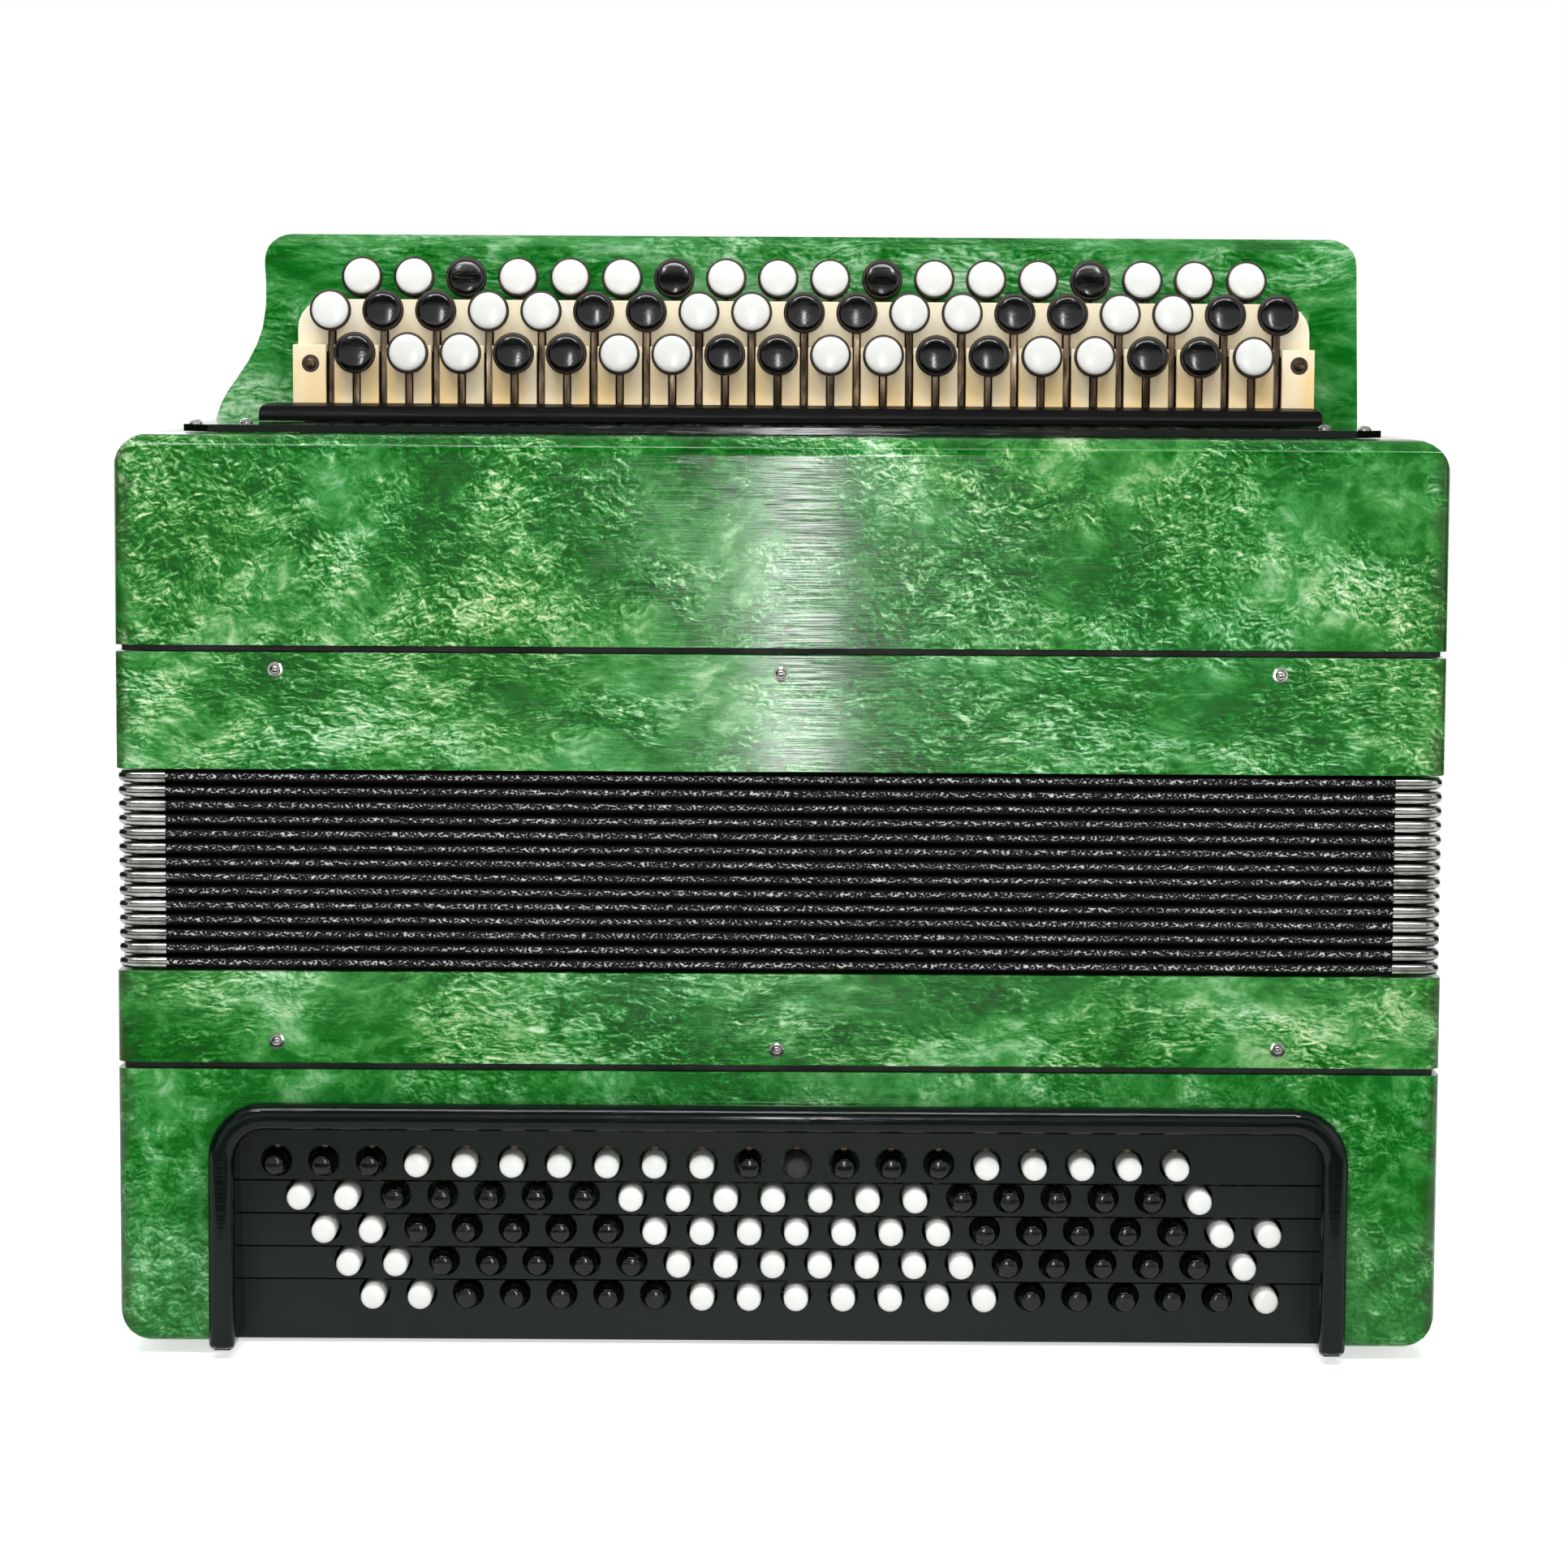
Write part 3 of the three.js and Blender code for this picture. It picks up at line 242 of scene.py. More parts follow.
def round_edges(obj, width, segments=2, angle=38):
    apply(
        obj, "rounded edges", "BEVEL", width=width * mm, segments=segments,
        limit_method="ANGLE", angle_limit=math.radians(angle), harden_normals=False,
    )
    shade(obj, angle)
    apply(obj, "even faces", "WEIGHTED_NORMAL", keep_sharp=True, weight=100)


def shade(obj, angle=38):
    pick(obj)
    bpy.ops.object.shade_smooth_by_angle(angle=math.radians(angle))


def copy_to(obj, place):
    """A copy of a modelled piece, with its own mesh, moved to a place."""
    twin = obj.copy()
    twin.data = obj.data.copy()
    twin.data.transform(place)
    bpy.context.collection.objects.link(twin)
    return twin


def join(name, parts):
    pick(*parts)
    if len(parts) > 1:
        bpy.ops.object.join()
    obj = bpy.context.object
    obj.name = obj.data.name = name
    return obj


def remove(*objects):
    for obj in objects:
        bpy.data.objects.remove(obj)


def paint(obj, material):
    obj.data.materials.clear()
    obj.data.materials.append(material)
    return obj


def slab(name, middle, size):
    """A block around a middle point."""
    bpy.ops.object.select_all(action="DESELECT")
    bpy.ops.mesh.primitive_cube_add(size=1)
    obj = bpy.context.object
    obj.name = name
    obj.data.transform(Matrix.Translation(middle) @ Matrix.Diagonal((*size, 1)))
    return obj


def attach(obj, body):
    """Lets a piece ride on a body."""
    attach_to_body(obj, body)


def turned(name, profile, sides, material):
    """A disc drawn up through (radius, height) points, as on a lathe."""
    radius, height = profile[0]
    bpy.ops.object.select_all(action="DESELECT")
    bpy.ops.mesh.primitive_circle_add(
        vertices=sides, radius=radius * mm, fill_type="NGON", location=(0, 0, height * mm)
    )
    obj = bpy.context.object
    obj.name = name
    bpy.ops.object.transform_apply(location=True)
    open_mesh(obj)
    for wide, high in profile[1:]:
        bpy.ops.mesh.extrude_region_move(TRANSFORM_OT_translate={"value": (0, 0, (high - height) * mm)})
        share = wide / radius
        bpy.ops.transform.resize(value=(share, share, 1), center_override=(0, 0, high * mm))
        radius, height = wide, high
    face_outwards()
    close_mesh()
    shade(obj, 50)
    return paint(obj, material)


def dome(radius, base, rise, steps=4, tip=0.12):
    """Points of a low dome from its edge to a small flat at its middle."""
    turns = (math.pi / 2 * i / steps for i in range(steps))
    rounded = [(radius * math.cos(turn), base + rise * math.sin(turn)) for turn in turns]
    return rounded + [(radius * tip, base + rise)]


def facing_front(x, y, z, tilt=0):
    """A place whose own height axis points to the front, tipped up by tilt."""
    turn = Matrix.Rotation(math.radians(90 - tilt), 4, "X")
    return Matrix.Translation(Vector((x, y, z)) * mm) @ turn


def frame_copy(node, name):
    """A copy of a frame node with its corners merged and its flat faces whole."""
    obj = bpy.data.objects.new(name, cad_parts[node].data.copy())
    bpy.context.collection.objects.link(obj)
    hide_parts(node)
    open_mesh(obj, "VERT")
    bpy.ops.mesh.remove_doubles(threshold=0.002 * mm)
    bpy.ops.mesh.dissolve_limited(angle_limit=math.radians(0.5))
    close_mesh()
    return obj


# Materials
def feed(tree, socket, value):
    if isinstance(value, bpy.types.NodeSocket):
        tree.links.new(value, socket)
    elif isinstance(value, tuple) and len(socket.default_value) == 4:
        socket.default_value = (*value, 1)
    else:
        socket.default_value = value


def add(tree, kind, feeds, output=0, **settings):
    """Adds a node, sets and feeds it, and returns one of its outputs."""
    node = tree.nodes.new("ShaderNode" + kind)
    for key, value in settings.items():
        setattr(node, key, value)
    for socket, value in feeds.items():
        feed(tree, node.inputs[socket], value)
    return node.outputs[output]


def noise(tree, place, scale, detail=3.0, roughness=0.55, distortion=0.0, output=0):
    feeds = {
        "Vector": place, "Scale": scale, "Detail": detail, "Roughness": roughness, "Distortion": distortion,
    }
    return add(tree, "TexNoise", feeds, output)


def stretch(tree, place, scale, shift=(0, 0, 0)):
    return add(tree, "Mapping", {"Vector": place, "Scale": scale, "Location": shift})


def count(tree, operation, a, b=0.0, c=0.0):
    return add(tree, "Math", {0: a, 1: b, 2: c}, operation=operation)


def spread(tree, value, low, high, to_low=0.0, to_high=1.0):
    feeds = {0: value, 1: low, 2: high, 3: to_low, 4: to_high}
    return add(tree, "MapRange", feeds, interpolation_type="SMOOTHSTEP")


def blend_colors(tree, factor, a, b, **settings):
    return add(tree, "Mix", {0: factor, 6: a, 7: b}, 2, data_type="RGBA", **settings)


def ramp(tree, value, *stops):
    color = add(tree, "ValToRGB", {0: value})
    elements = color.node.color_ramp.elements
    while len(elements) < len(stops):
        elements.new(0.5)
    for element, (position, tint) in zip(elements, stops):
        element.position = position
        element.color = (*tint, 1)
    return color


def start_group(name, inputs, outputs):
    """An empty node group; inputs and outputs are (name, kind, value) and (name, kind)."""
    tree = bpy.data.node_groups.new(name, "ShaderNodeTree")
    for label, kind, value in inputs:
        socket = tree.interface.new_socket(label, in_out="INPUT", socket_type="NodeSocket" + kind)
        if value is not None:
            socket.default_value = value
    for label, kind in outputs:
        tree.interface.new_socket(label, in_out="OUTPUT", socket_type="NodeSocket" + kind)
    return tree, tree.nodes.new("NodeGroupInput").outputs, tree.nodes.new("NodeGroupOutput").inputs


def flake_group():
    """Wrinkled fibrous flakes in clouds, as in pearl celluloid: a tone from dark to pale, with painted light
    and shade on the sides of the wrinkles.
    """
    inputs = [
        ("Place", "Vector", None),
        ("Clouds", "Float", 0.9),
        ("Wrinkle shading", "Float", 1.6),
        ("Lift", "Float", 0.0),
    ]
    tree, given, result = start_group("pearl flakes", inputs, [("Tone", "Float")])
    drift = noise(tree, given["Place"], 34.0, 2.0, output=1)
    folded = add(
        tree, "VectorMath", {0: drift, 1: (0.013, 0.013, 0.013), 2: given["Place"]}, operation="MULTIPLY_ADD"
    )
    clouds = noise(tree, given["Place"], 22.0, 6.0, 0.62, 0.4)
    patches = noise(tree, folded, 120.0, 5.0, 0.65, 0.5)
    # Offset copies of one noise: their difference is painted light and shade on the sides of the wrinkles
    lit = noise(tree, stretch(tree, folded, (0.7, 1, 1)), 390.0, 5.0, 0.7, 0.6)
    shaded = noise(tree, stretch(tree, folded, (0.7, 1, 1), (0.0003, 0.0004, 0.0007)), 390.0, 5.0, 0.7, 0.6)
    shading_share = spread(tree, noise(tree, folded, 38.0, 3.0), 0.38, 0.62, 0.12, 1.15)
    relief = count(tree, "MULTIPLY", count(tree, "SUBTRACT", lit, shaded), shading_share)
    tone = count(tree, "MULTIPLY_ADD", count(tree, "SUBTRACT", clouds, 0.5), given["Clouds"], 0.5)
    tone = count(tree, "MULTIPLY_ADD", count(tree, "SUBTRACT", patches, 0.5), 0.8, tone)
    tone = count(tree, "MULTIPLY_ADD", relief, given["Wrinkle shading"], tone)
    feed(tree, result["Tone"], count(tree, "ADD", tone, given["Lift"]))
    return tree


def wear_group():
    """Fine long scratches along X, with the roughness and the height that they give a polished face."""
    inputs = [("Place", "Vector", None), ("Smooth", "Float", 0.18), ("Scratched", "Float", 0.35)]
    outputs = [("Roughness", "Float"), ("Height", "Float")]
    tree, given, result = start_group("polish and scratches", inputs, outputs)
    lines = noise(tree, stretch(tree, given["Place"], (45, 2600, 3200)), 1.0, 2.0, 0.6, 0.3)
    smears = noise(tree, given["Place"], 26.0, 4.0, 0.6, 0.5)
    marks = count(tree, "MULTIPLY", spread(tree, lines, 0.48, 0.68), spread(tree, smears, 0.3, 0.7, 0.3, 1.0))
    rough = add(tree, "MapRange", {0: marks, 3: given["Smooth"], 4: given["Scratched"]})
    feed(tree, result["Roughness"], rough)
    swells = count(tree, "MULTIPLY", smears, 2.0)
    feed(tree, result["Height"], count(tree, "MULTIPLY_ADD", marks, -1.0, swells))
    return tree


def edge_group():
    """Darkening along the four upright edges of the body, as a mask."""
    inputs = [("Place", "Vector", None), ("Reach", "Float", 0.005)]
    tree, given, result = start_group("darker along upright edges", inputs, [("Mask", "Float")])
    place = add(tree, "SeparateXYZ", {0: given["Place"]}, "X").node.outputs
    from_side = count(tree, "SUBTRACT", body_half * mm, count(tree, "ABSOLUTE", place["X"]))
    from_face = count(tree, "SUBTRACT", -front * mm, count(tree, "ABSOLUTE", place["Y"]))
    away = count(tree, "ADD", from_side, from_face)
    blots = noise(tree, given["Place"], 120.0, 4.0, 0.6)
    ragged = count(tree, "MULTIPLY", given["Reach"], spread(tree, blots, 0.3, 0.7, 0.4, 1.6))
    near = count(tree, "DIVIDE", away, ragged)
    feed(tree, result["Mask"], spread(tree, near, 0.2, 1.0, 0.75, 0.0))
    return tree


def dust_group():
    """Pale specks of dust and lint on a dark face."""
    inputs = [("Place", "Vector", None), ("Scale", "Float", 700.0), ("Amount", "Float", 0.3)]
    tree, given, result = start_group("dust", inputs, [("Mask", "Float")])
    specks = noise(tree, given["Place"], given["Scale"], 4.0, 0.75)
    fields = noise(tree, given["Place"], 40.0, 3.0, 0.6)
    share = spread(tree, fields, 0.35, 0.7, 0.2, 1.0)
    found = count(tree, "MULTIPLY", spread(tree, specks, 0.6, 0.78), share)
    feed(tree, result["Mask"], count(tree, "MULTIPLY", found, given["Amount"]))
    return tree


def grain_group():
    """The pebbled grain of leather and leather cloth, as a height."""
    inputs = [("Place", "Vector", None), ("Scale", "Float", 900.0)]
    tree, given, result = start_group("leather grain", inputs, [("Height", "Float")])
    pebbles = add(tree, "TexVoronoi", {"Vector": given["Place"], "Scale": given["Scale"]}, feature="F1")
    creases = noise(tree, given["Place"], given["Scale"], 4.0, 0.7, 0.6)
    feed(tree, result["Height"], count(tree, "MULTIPLY_ADD", pebbles, 0.7, creases))
    return tree


groups = {
    "flakes": flake_group(),
    "wear": wear_group(),
    "edges": edge_group(),
    "dust": dust_group(),
    "grain": grain_group(),
}


def group(tree, name, feeds, output=0):
    node = tree.nodes.new("ShaderNodeGroup")
    node.node_tree = groups[name]
    for socket, value in feeds.items():
        feed(tree, node.inputs[socket], value)
    return node.outputs[output]


def start_material(name, **sockets):
    """A new material: its tree, its shader's inputs and the place of each point of the object."""
    material = bpy.data.materials.new(name)
    material.use_nodes = True
    tree = material.node_tree
    shader = tree.nodes["Principled BSDF"].inputs
    for socket, value in sockets.items():
        shader[socket.replace("_", " ")].default_value = value
    return material, tree, shader, add(tree, "TexCoord", {}, "Object")


def bump(tree, shader, height, strength, distance):
    feeds = {"Height": height, "Strength": strength, "Distance": distance * mm}
    feed(tree, shader["Normal"], add(tree, "Bump", feeds))


def green_pearl(name, lift, flow=(1, 1, 1), clouds=1.3, wrinkle_shading=1.7, aged=(1.22, 0.97, 0.93)):
    """Pearl celluloid; its flakes are stretched by flow, and patches are tinted from cool to aged."""
    material, tree, shader, place = start_material(name, Specular_IOR_Level=0.2)
    feeds = {"Place": stretch(tree, place, flow), "Clouds": clouds, "Wrinkle shading": wrinkle_shading, "Lift": lift}
    tone = group(tree, "flakes", feeds)
    tint = ramp(tree, noise(tree, place, 8.0, 4.0, 0.6), (0.38, (0.97, 0.99, 1.16)), (0.62, aged))
    color = blend_colors(tree, 1.0, ramp(tree, tone, *pearl_shades), tint, blend_type="MULTIPLY")
    # The pearl turns darker towards the four upright edges of the body
    toning = group(tree, "edges", {"Place": place, "Reach": 0.006})
    feed(tree, shader["Base Color"], blend_colors(tree, toning, color, (0.02, 0.05, 0.012)))
    wear = {"Place": place, "Smooth": 0.07, "Scratched": 0.17}
    feed(tree, shader["Roughness"], group(tree, "wear", wear))
    bump(tree, shader, group(tree, "wear", wear, "Height"), 0.25, 0.05)
    return material


def black_plastic(name, base, smooth, scratched, level, dust=0.25, relief=0.2):
    material, tree, shader, place = start_material(name, Specular_IOR_Level=level)
    pale = tuple(part + 0.05 for part in base)
    mask = group(tree, "dust", {"Place": place, "Amount": dust})
    feed(tree, shader["Base Color"], blend_colors(tree, mask, base, pale))
    wear = {"Place": place, "Smooth": smooth, "Scratched": scratched}
    feed(tree, shader["Roughness"], group(tree, "wear", wear))
    bump(tree, shader, group(tree, "wear", wear, "Height"), relief, 0.04)
    return material


def white_cap():
    material, tree, shader, place = start_material("white cap", Specular_IOR_Level=0.4)
    clouds = noise(tree, place, 60.0, 4.0, 0.6)
    shades = ramp(tree, clouds, (0.3, (0.76, 0.77, 0.74)), (0.7, (0.81, 0.82, 0.79)))
    mask = group(tree, "dust", {"Place": place, "Scale": 420.0, "Amount": 0.12})
    feed(tree, shader["Base Color"], blend_colors(tree, mask, shades, (0.42, 0.38, 0.3)))
    feed(tree, shader["Roughness"], spread(tree, noise(tree, place, 300.0), 0.3, 0.7, 0.16, 0.3))
    bump(tree, shader, noise(tree, place, 240.0), 0.1, 0.04)
    return material


def knurled_cap():
    """The cap of the one bass button that is found by touch."""
    material, tree, shader, place = start_material("knurled cap", Specular_IOR_Level=0.3)
    grain = group(tree, "grain", {"Place": place, "Scale": 1500.0})
    color = ramp(tree, grain, (0.4, (0.004, 0.005, 0.004)), (0.9, (0.03, 0.03, 0.03)))
    feed(tree, shader["Base Color"], color)
    feed(tree, shader["Roughness"], spread(tree, grain, 0.3, 0.9, 0.4, 0.6))
    bump(tree, shader, grain, 0.9, 0.4)
    return material


def cap_rim():
    """The dark ring round a treble cap, with brown grime in its seam."""
    material, tree, shader, place = start_material("cap rim", Specular_IOR_Level=0.3)
    toning = noise(tree, place, 210.0, 4.0, 0.6)
    stops = (0.4, (0.012, 0.009, 0.006)), (0.7, (0.06, 0.035, 0.018)), (0.85, (0.2, 0.15, 0.09))
    color = ramp(tree, toning, *stops)
    feed(tree, shader["Base Color"], color)
    feed(tree, shader["Roughness"], spread(tree, toning, 0.3, 0.7, 0.3, 0.6))
    return material


def aged_ivory():
    """Ivory plastic, amber low down between the levers, with brown grime."""
    material, tree, shader, place = start_material("aged ivory", Specular_IOR_Level=0.35)
    height = add(tree, "SeparateXYZ", {0: place}, "Z")
    blotch = noise(tree, place, 55.0, 4.0, 0.62)
    strips = noise(tree, stretch(tree, place, (90, 20, 6)), 1.0, 2.0, 0.5)
    stops = (0.35, (0.93, 0.81, 0.56)), (0.55, (0.95, 0.87, 0.67)), (0.72, (0.97, 0.92, 0.78))
    cream = ramp(tree, blotch, *stops)
    streaks = spread(tree, strips, 0.38, 0.6, 0.4, 0.95)
    low = count(tree, "MULTIPLY", spread(tree, height, amber_from, amber_full), streaks)
    color = blend_colors(tree, low, cream, (0.95, 0.69, 0.31))
    toning = noise(tree, stretch(tree, place, (520, 200, 70)), 1.0, 4.0, 0.65, 0.4)
    color = blend_colors(tree, spread(tree, toning, 0.66, 0.82, 0.0, 0.55), color, (0.2, 0.1, 0.035))
    feed(tree, shader["Base Color"], color)
    feed(tree, shader["Roughness"], spread(tree, blotch, 0.3, 0.7, 0.28, 0.5))
    bump(tree, shader, toning, 0.15, 0.08)
    return material


def plated(name, dark, bright, smooth, dull, flow=(60, 60, 60)):
    """Metal with faint stains and fine scratches."""
    material, tree, shader, place = start_material(name, Metallic=1.0)
    stain = noise(tree, stretch(tree, place, flow), 1.0, 5.0, 0.65, 0.4)
    feed(tree, shader["Base Color"], ramp(tree, stain, (0.35, dark), (0.6, bright)))
    feed(tree, shader["Roughness"], spread(tree, stain, 0.35, 0.65, dull, smooth))
    wear = group(tree, "wear", {"Place": place}, "Height")
    bump(tree, shader, wear, 0.15, 0.05)
    return material


def lever_metal():
    """Browned rods above the deck, and felt and wood where the pallets lie on it."""
    material, tree, shader, place = start_material("levers and pallets", Specular_IOR_Level=0.4)
    height = add(tree, "SeparateXYZ", {0: place}, "Z")
    stain = noise(tree, stretch(tree, place, (300, 300, 60)), 1.0, 5.0, 0.65)
    stops = (0.4, (0.035, 0.02, 0.01)), (0.62, (0.16, 0.115, 0.07)), (0.82, (0.5, 0.46, 0.39))
    rod = ramp(tree, stain, *stops)
    fibres = noise(tree, place, 220.0, 4.0)
    pallet = ramp(tree, fibres, (0.3, (0.3, 0.19, 0.1)), (0.7, (0.48, 0.33, 0.19)))
    above = spread(tree, height, deck_face, rod_foot)
    feed(tree, shader["Base Color"], blend_colors(tree, above, pallet, rod))
    feed(tree, shader["Metallic"], count(tree, "MULTIPLY", above, 0.7))
    feed(tree, shader["Roughness"], spread(tree, stain, 0.3, 0.7, 0.5, 0.3))
    return material


def bellows_cloth():
    """Black leather cloth; pale specks of its grain are painted along each ridge's crown as painted
    highlights.
    """
    material, tree, shader, place = start_material("bellows cloth", Specular_IOR_Level=0.1)
    grain = group(tree, "grain", {"Place": stretch(tree, place, (0.8, 1, 1.2)), "Scale": 1500.0})
    upright = add(tree, "SeparateXYZ", {0: add(tree, "TexCoord", {}, "Normal")}, "Z")
    crown = spread(tree, count(tree, "ABSOLUTE", count(tree, "SUBTRACT", upright, 0.15)), 0.15, 0.6, 1.0, 0.0)
    # Painted highlights: pale specks of the grain where the ridge faces forward and a little up
    painted_glint = count(tree, "MULTIPLY", spread(tree, grain, 0.9, 1.12), crown)
    feed(tree, shader["Base Color"], blend_colors(tree, painted_glint, (0.0015, 0.0015, 0.0015), (0.6, 0.6, 0.6)))
    feed(tree, shader["Roughness"], spread(tree, grain, 0.5, 1.0, 0.65, 0.35))
    bump(tree, shader, grain, 1.0, 0.35)
    return material


def leather(name, dark, pale):
    material, tree, shader, place = start_material(name, Specular_IOR_Level=0.3)
    tone = noise(tree, place, 40.0, 4.0, 0.6)
    feed(tree, shader["Base Color"], ramp(tree, tone, (0.3, dark), (0.75, pale)))
    feed(tree, shader["Roughness"], spread(tree, tone, 0.3, 0.7, 0.7, 0.5))
    bump(tree, shader, group(tree, "grain", {"Place": place, "Scale": 650.0}), 0.6, 0.3)
    return material


def felt():
    """Dark brown with fine fibres: painted shade for the hollow that shows between the levers."""
    material, tree, shader, place = start_material("brown felt", Specular_IOR_Level=0.05, Sheen_Weight=0.1)
    fibres = noise(tree, place, 1400.0, 4.0, 0.7, 1.0)
    color = ramp(tree, fibres, (0.35, (0.008, 0.005, 0.003)), (0.7, (0.05, 0.028, 0.014)))
    feed(tree, shader["Base Color"], color)
    feed(tree, shader["Roughness"], spread(tree, fibres, 0.3, 0.7, 0.8, 0.95))
    bump(tree, shader, fibres, 0.8, 0.2)
    return material


def spruce(name, pale, dark):
    material, tree, shader, place = start_material(name, Specular_IOR_Level=0.3)
    rings = noise(tree, stretch(tree, place, (14, 260, 260)), 1.0, 6.0, 0.7, 1.2)
    feed(tree, shader["Base Color"], ramp(tree, rings, (0.3, dark), (0.7, pale)))
    feed(tree, shader["Roughness"], spread(tree, rings, 0.3, 0.7, 0.65, 0.5))
    bump(tree, shader, rings, 0.3, 0.2)
    return material


# Colours of the pearl from its dark ground to its palest flakes, by tone
pearl_shades = (
    (0.24, (0.001, 0.06, 0.002)),
    (0.44, (0.003, 0.125, 0.007)),
    (0.6, (0.038, 0.24, 0.042)),
    (0.78, (0.23, 0.49, 0.21)),
    (0.98, (0.54, 0.74, 0.48)),
)
finish = {
    "cover": green_pearl("green pearl cover", 0.01),
    "frame": green_pearl("green pearl frames", 0.03, (0.7, 1, 1.2)),
    "bass": green_pearl("green pearl bass", 0.01, (1, 1, 1), 0.9, 1.0, (1.1, 1, 1.12)),
    "board": green_pearl("green pearl board", 0.1, (0.5, 1, 1), 1.0, 1.0, (1.1, 1, 1.2)),
    "gloss": black_plastic("polished black", (0.0015, 0.0045, 0.003), 0.06, 0.16, 0.17),
    "satin": black_plastic("satin black", (0.003, 0.008, 0.0055), 0.3, 0.34, 0.19, 0.3, 0.04),
    "guard": black_plastic("guard bar black", (0.001, 0.0012, 0.001), 0.3, 0.55, 0.05, 0.15, 0.5),
    "black cap": black_plastic("black cap", (0.0015, 0.002, 0.0018), 0.12, 0.22, 0.4, 0.5),
    "bass black": black_plastic("bass black cap", (0.0015, 0.002, 0.0018), 0.06, 0.16, 0.3, 0.5),
    "white cap": white_cap(),
    "knurled cap": knurled_cap(),
    "rim": cap_rim(),
    "ivory": aged_ivory(),
    "felt": felt(),
    "nickel": plated("worn nickel", (0.13, 0.13, 0.118), (0.38, 0.38, 0.355), 0.06, 0.15),
    "steel": plated("plain steel", (0.22, 0.21, 0.2), (0.45, 0.44, 0.42), 0.3, 0.45, (60, 300, 300)),
    "screw": plated("browned screw", (0.02, 0.012, 0.006), (0.14, 0.09, 0.05), 0.35, 0.6, (500, 500, 500)),
    "action": lever_metal(),
    "cloth": bellows_cloth(),
    "gasket": leather("gasket leather", (0.004, 0.004, 0.004), (0.012, 0.012, 0.012)),
    "strap": leather("hand strap leather", (0.01, 0.007, 0.005), (0.024, 0.017, 0.012)),
    "rubber": leather("foot rubber", (0.008, 0.008, 0.008), (0.018, 0.018, 0.018)),
    "wood": spruce("bare spruce", (0.62, 0.43, 0.24), (0.42, 0.26, 0.13)),
}


# Rigid pieces whose shape the frame already has: edges rounded, flat faces whole
def bevel_sharp(obj, test, width, segments):
    """Rounds the sharp edges whose middle passes a test on its place in millimetres."""
    open_mesh(obj, "EDGE")
    bpy.ops.mesh.select_all(action="DESELECT")
    bpy.ops.mesh.edges_select_sharp(sharpness=math.radians(30))
    mesh = bmesh.from_edit_mesh(obj.data)
    for edge in mesh.edges:
        if edge.select and not test((edge.verts[0].co + edge.verts[1].co) / 2 / mm):
            edge.select_set(False)
    bmesh.update_edit_mesh(obj.data)
    bpy.ops.mesh.bevel(offset=width * mm, segments=segments, affect="EDGES", clamp_overlap=False)
    close_mesh()


def sweep_flare(obj):
    """Bends the fingerboard's left edge into its S curve."""
    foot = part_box("fingerboard")[0].z / mm
    low, high = flare_straight
    straight = min(v.co.x / mm for v in obj.data.vertices if low < v.co.z / mm - foot < high)
    open_mesh(obj)
    for height, _ in flare_curve[1:]:
        bpy.ops.mesh.select_all(action="SELECT")
        bpy.ops.mesh.bisect(plane_co=(0, 0, (foot + height) * mm), plane_no=(0, 0, 1))
    bpy.ops.mesh.select_mode(type="VERT")
    mesh = bmesh.from_edit_mesh(obj.data)
    levels = {round(v.co.z / mm, 2) for v in mesh.verts if v.co.x / mm < straight + 3 * hair}
    for level in sorted(level for level in levels if level - foot <= flare_curve[-1][0]):
        rise = level - foot
        pairs = zip(flare_curve, flare_curve[1:])
        (low, near), (high, far) = next(pair for pair in pairs if rise <= pair[1][0] + hair / 10)
        out = near + (far - near) * (rise - low) / (high - low)
        mesh = bmesh.from_edit_mesh(obj.data)
        present = min(v.co.x for v in mesh.verts if abs(v.co.z / mm - level) < hair / 10) / mm
        choose(obj, lambda spot: abs(spot.z - level) < hair / 10 and spot.x < present + hair, "verts")
        bpy.ops.transform.translate(value=((straight - out - present) * mm, 0, 0))
    close_mesh()


def finished(node, body, slot, material, edge):
    obj = frame_copy(node, node + "_finished")
    paint(obj, finish[material])
    if node == "fingerboard":
        sweep_flare(obj)
    if node == "bass_bezel":
        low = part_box(node)[0] / mm
        bevel_sharp(obj, lambda spot: spot.y < low.y + bead_reach and spot.z > low.z + 1, bead_round, 4)
        bevel_sharp(obj, lambda spot: spot.z < low.z + 1, foot_round, 4)
    round_edges(obj, edge)
    attach(obj, body)


def bare_levers(node, in_front):
    """A row's levers without the frame's plain caps, whose corners in_front picks out."""
    obj = frame_copy(node, node + "_levers")
    open_mesh(obj)
    choose(obj, in_front)
    bpy.ops.mesh.delete(type="FACE")
    close_mesh()
    paint(obj, finish["action"])
    shade(obj)
    return obj


# Treble buttons: a dark rim round a domed cap
def treble_button(color):
    inner, outer = rim_radius - rim_bevel, cap_radius + hair
    rim = [(inner, 0), (rim_radius, 0.4), (rim_radius, 2.3), (inner, 2.6), (cap_radius, 2.7)]
    cap = [(outer, 2.4), (outer, 2.9)] + dome(cap_radius, cap_edge, cap_depth + hair / 2 - cap_edge, 5)
    return join("treble_button", [
        turned("treble_rim", rim, 32, finish["rim"]),
        turned("treble_cap", cap, 32, finish[color]),
    ])


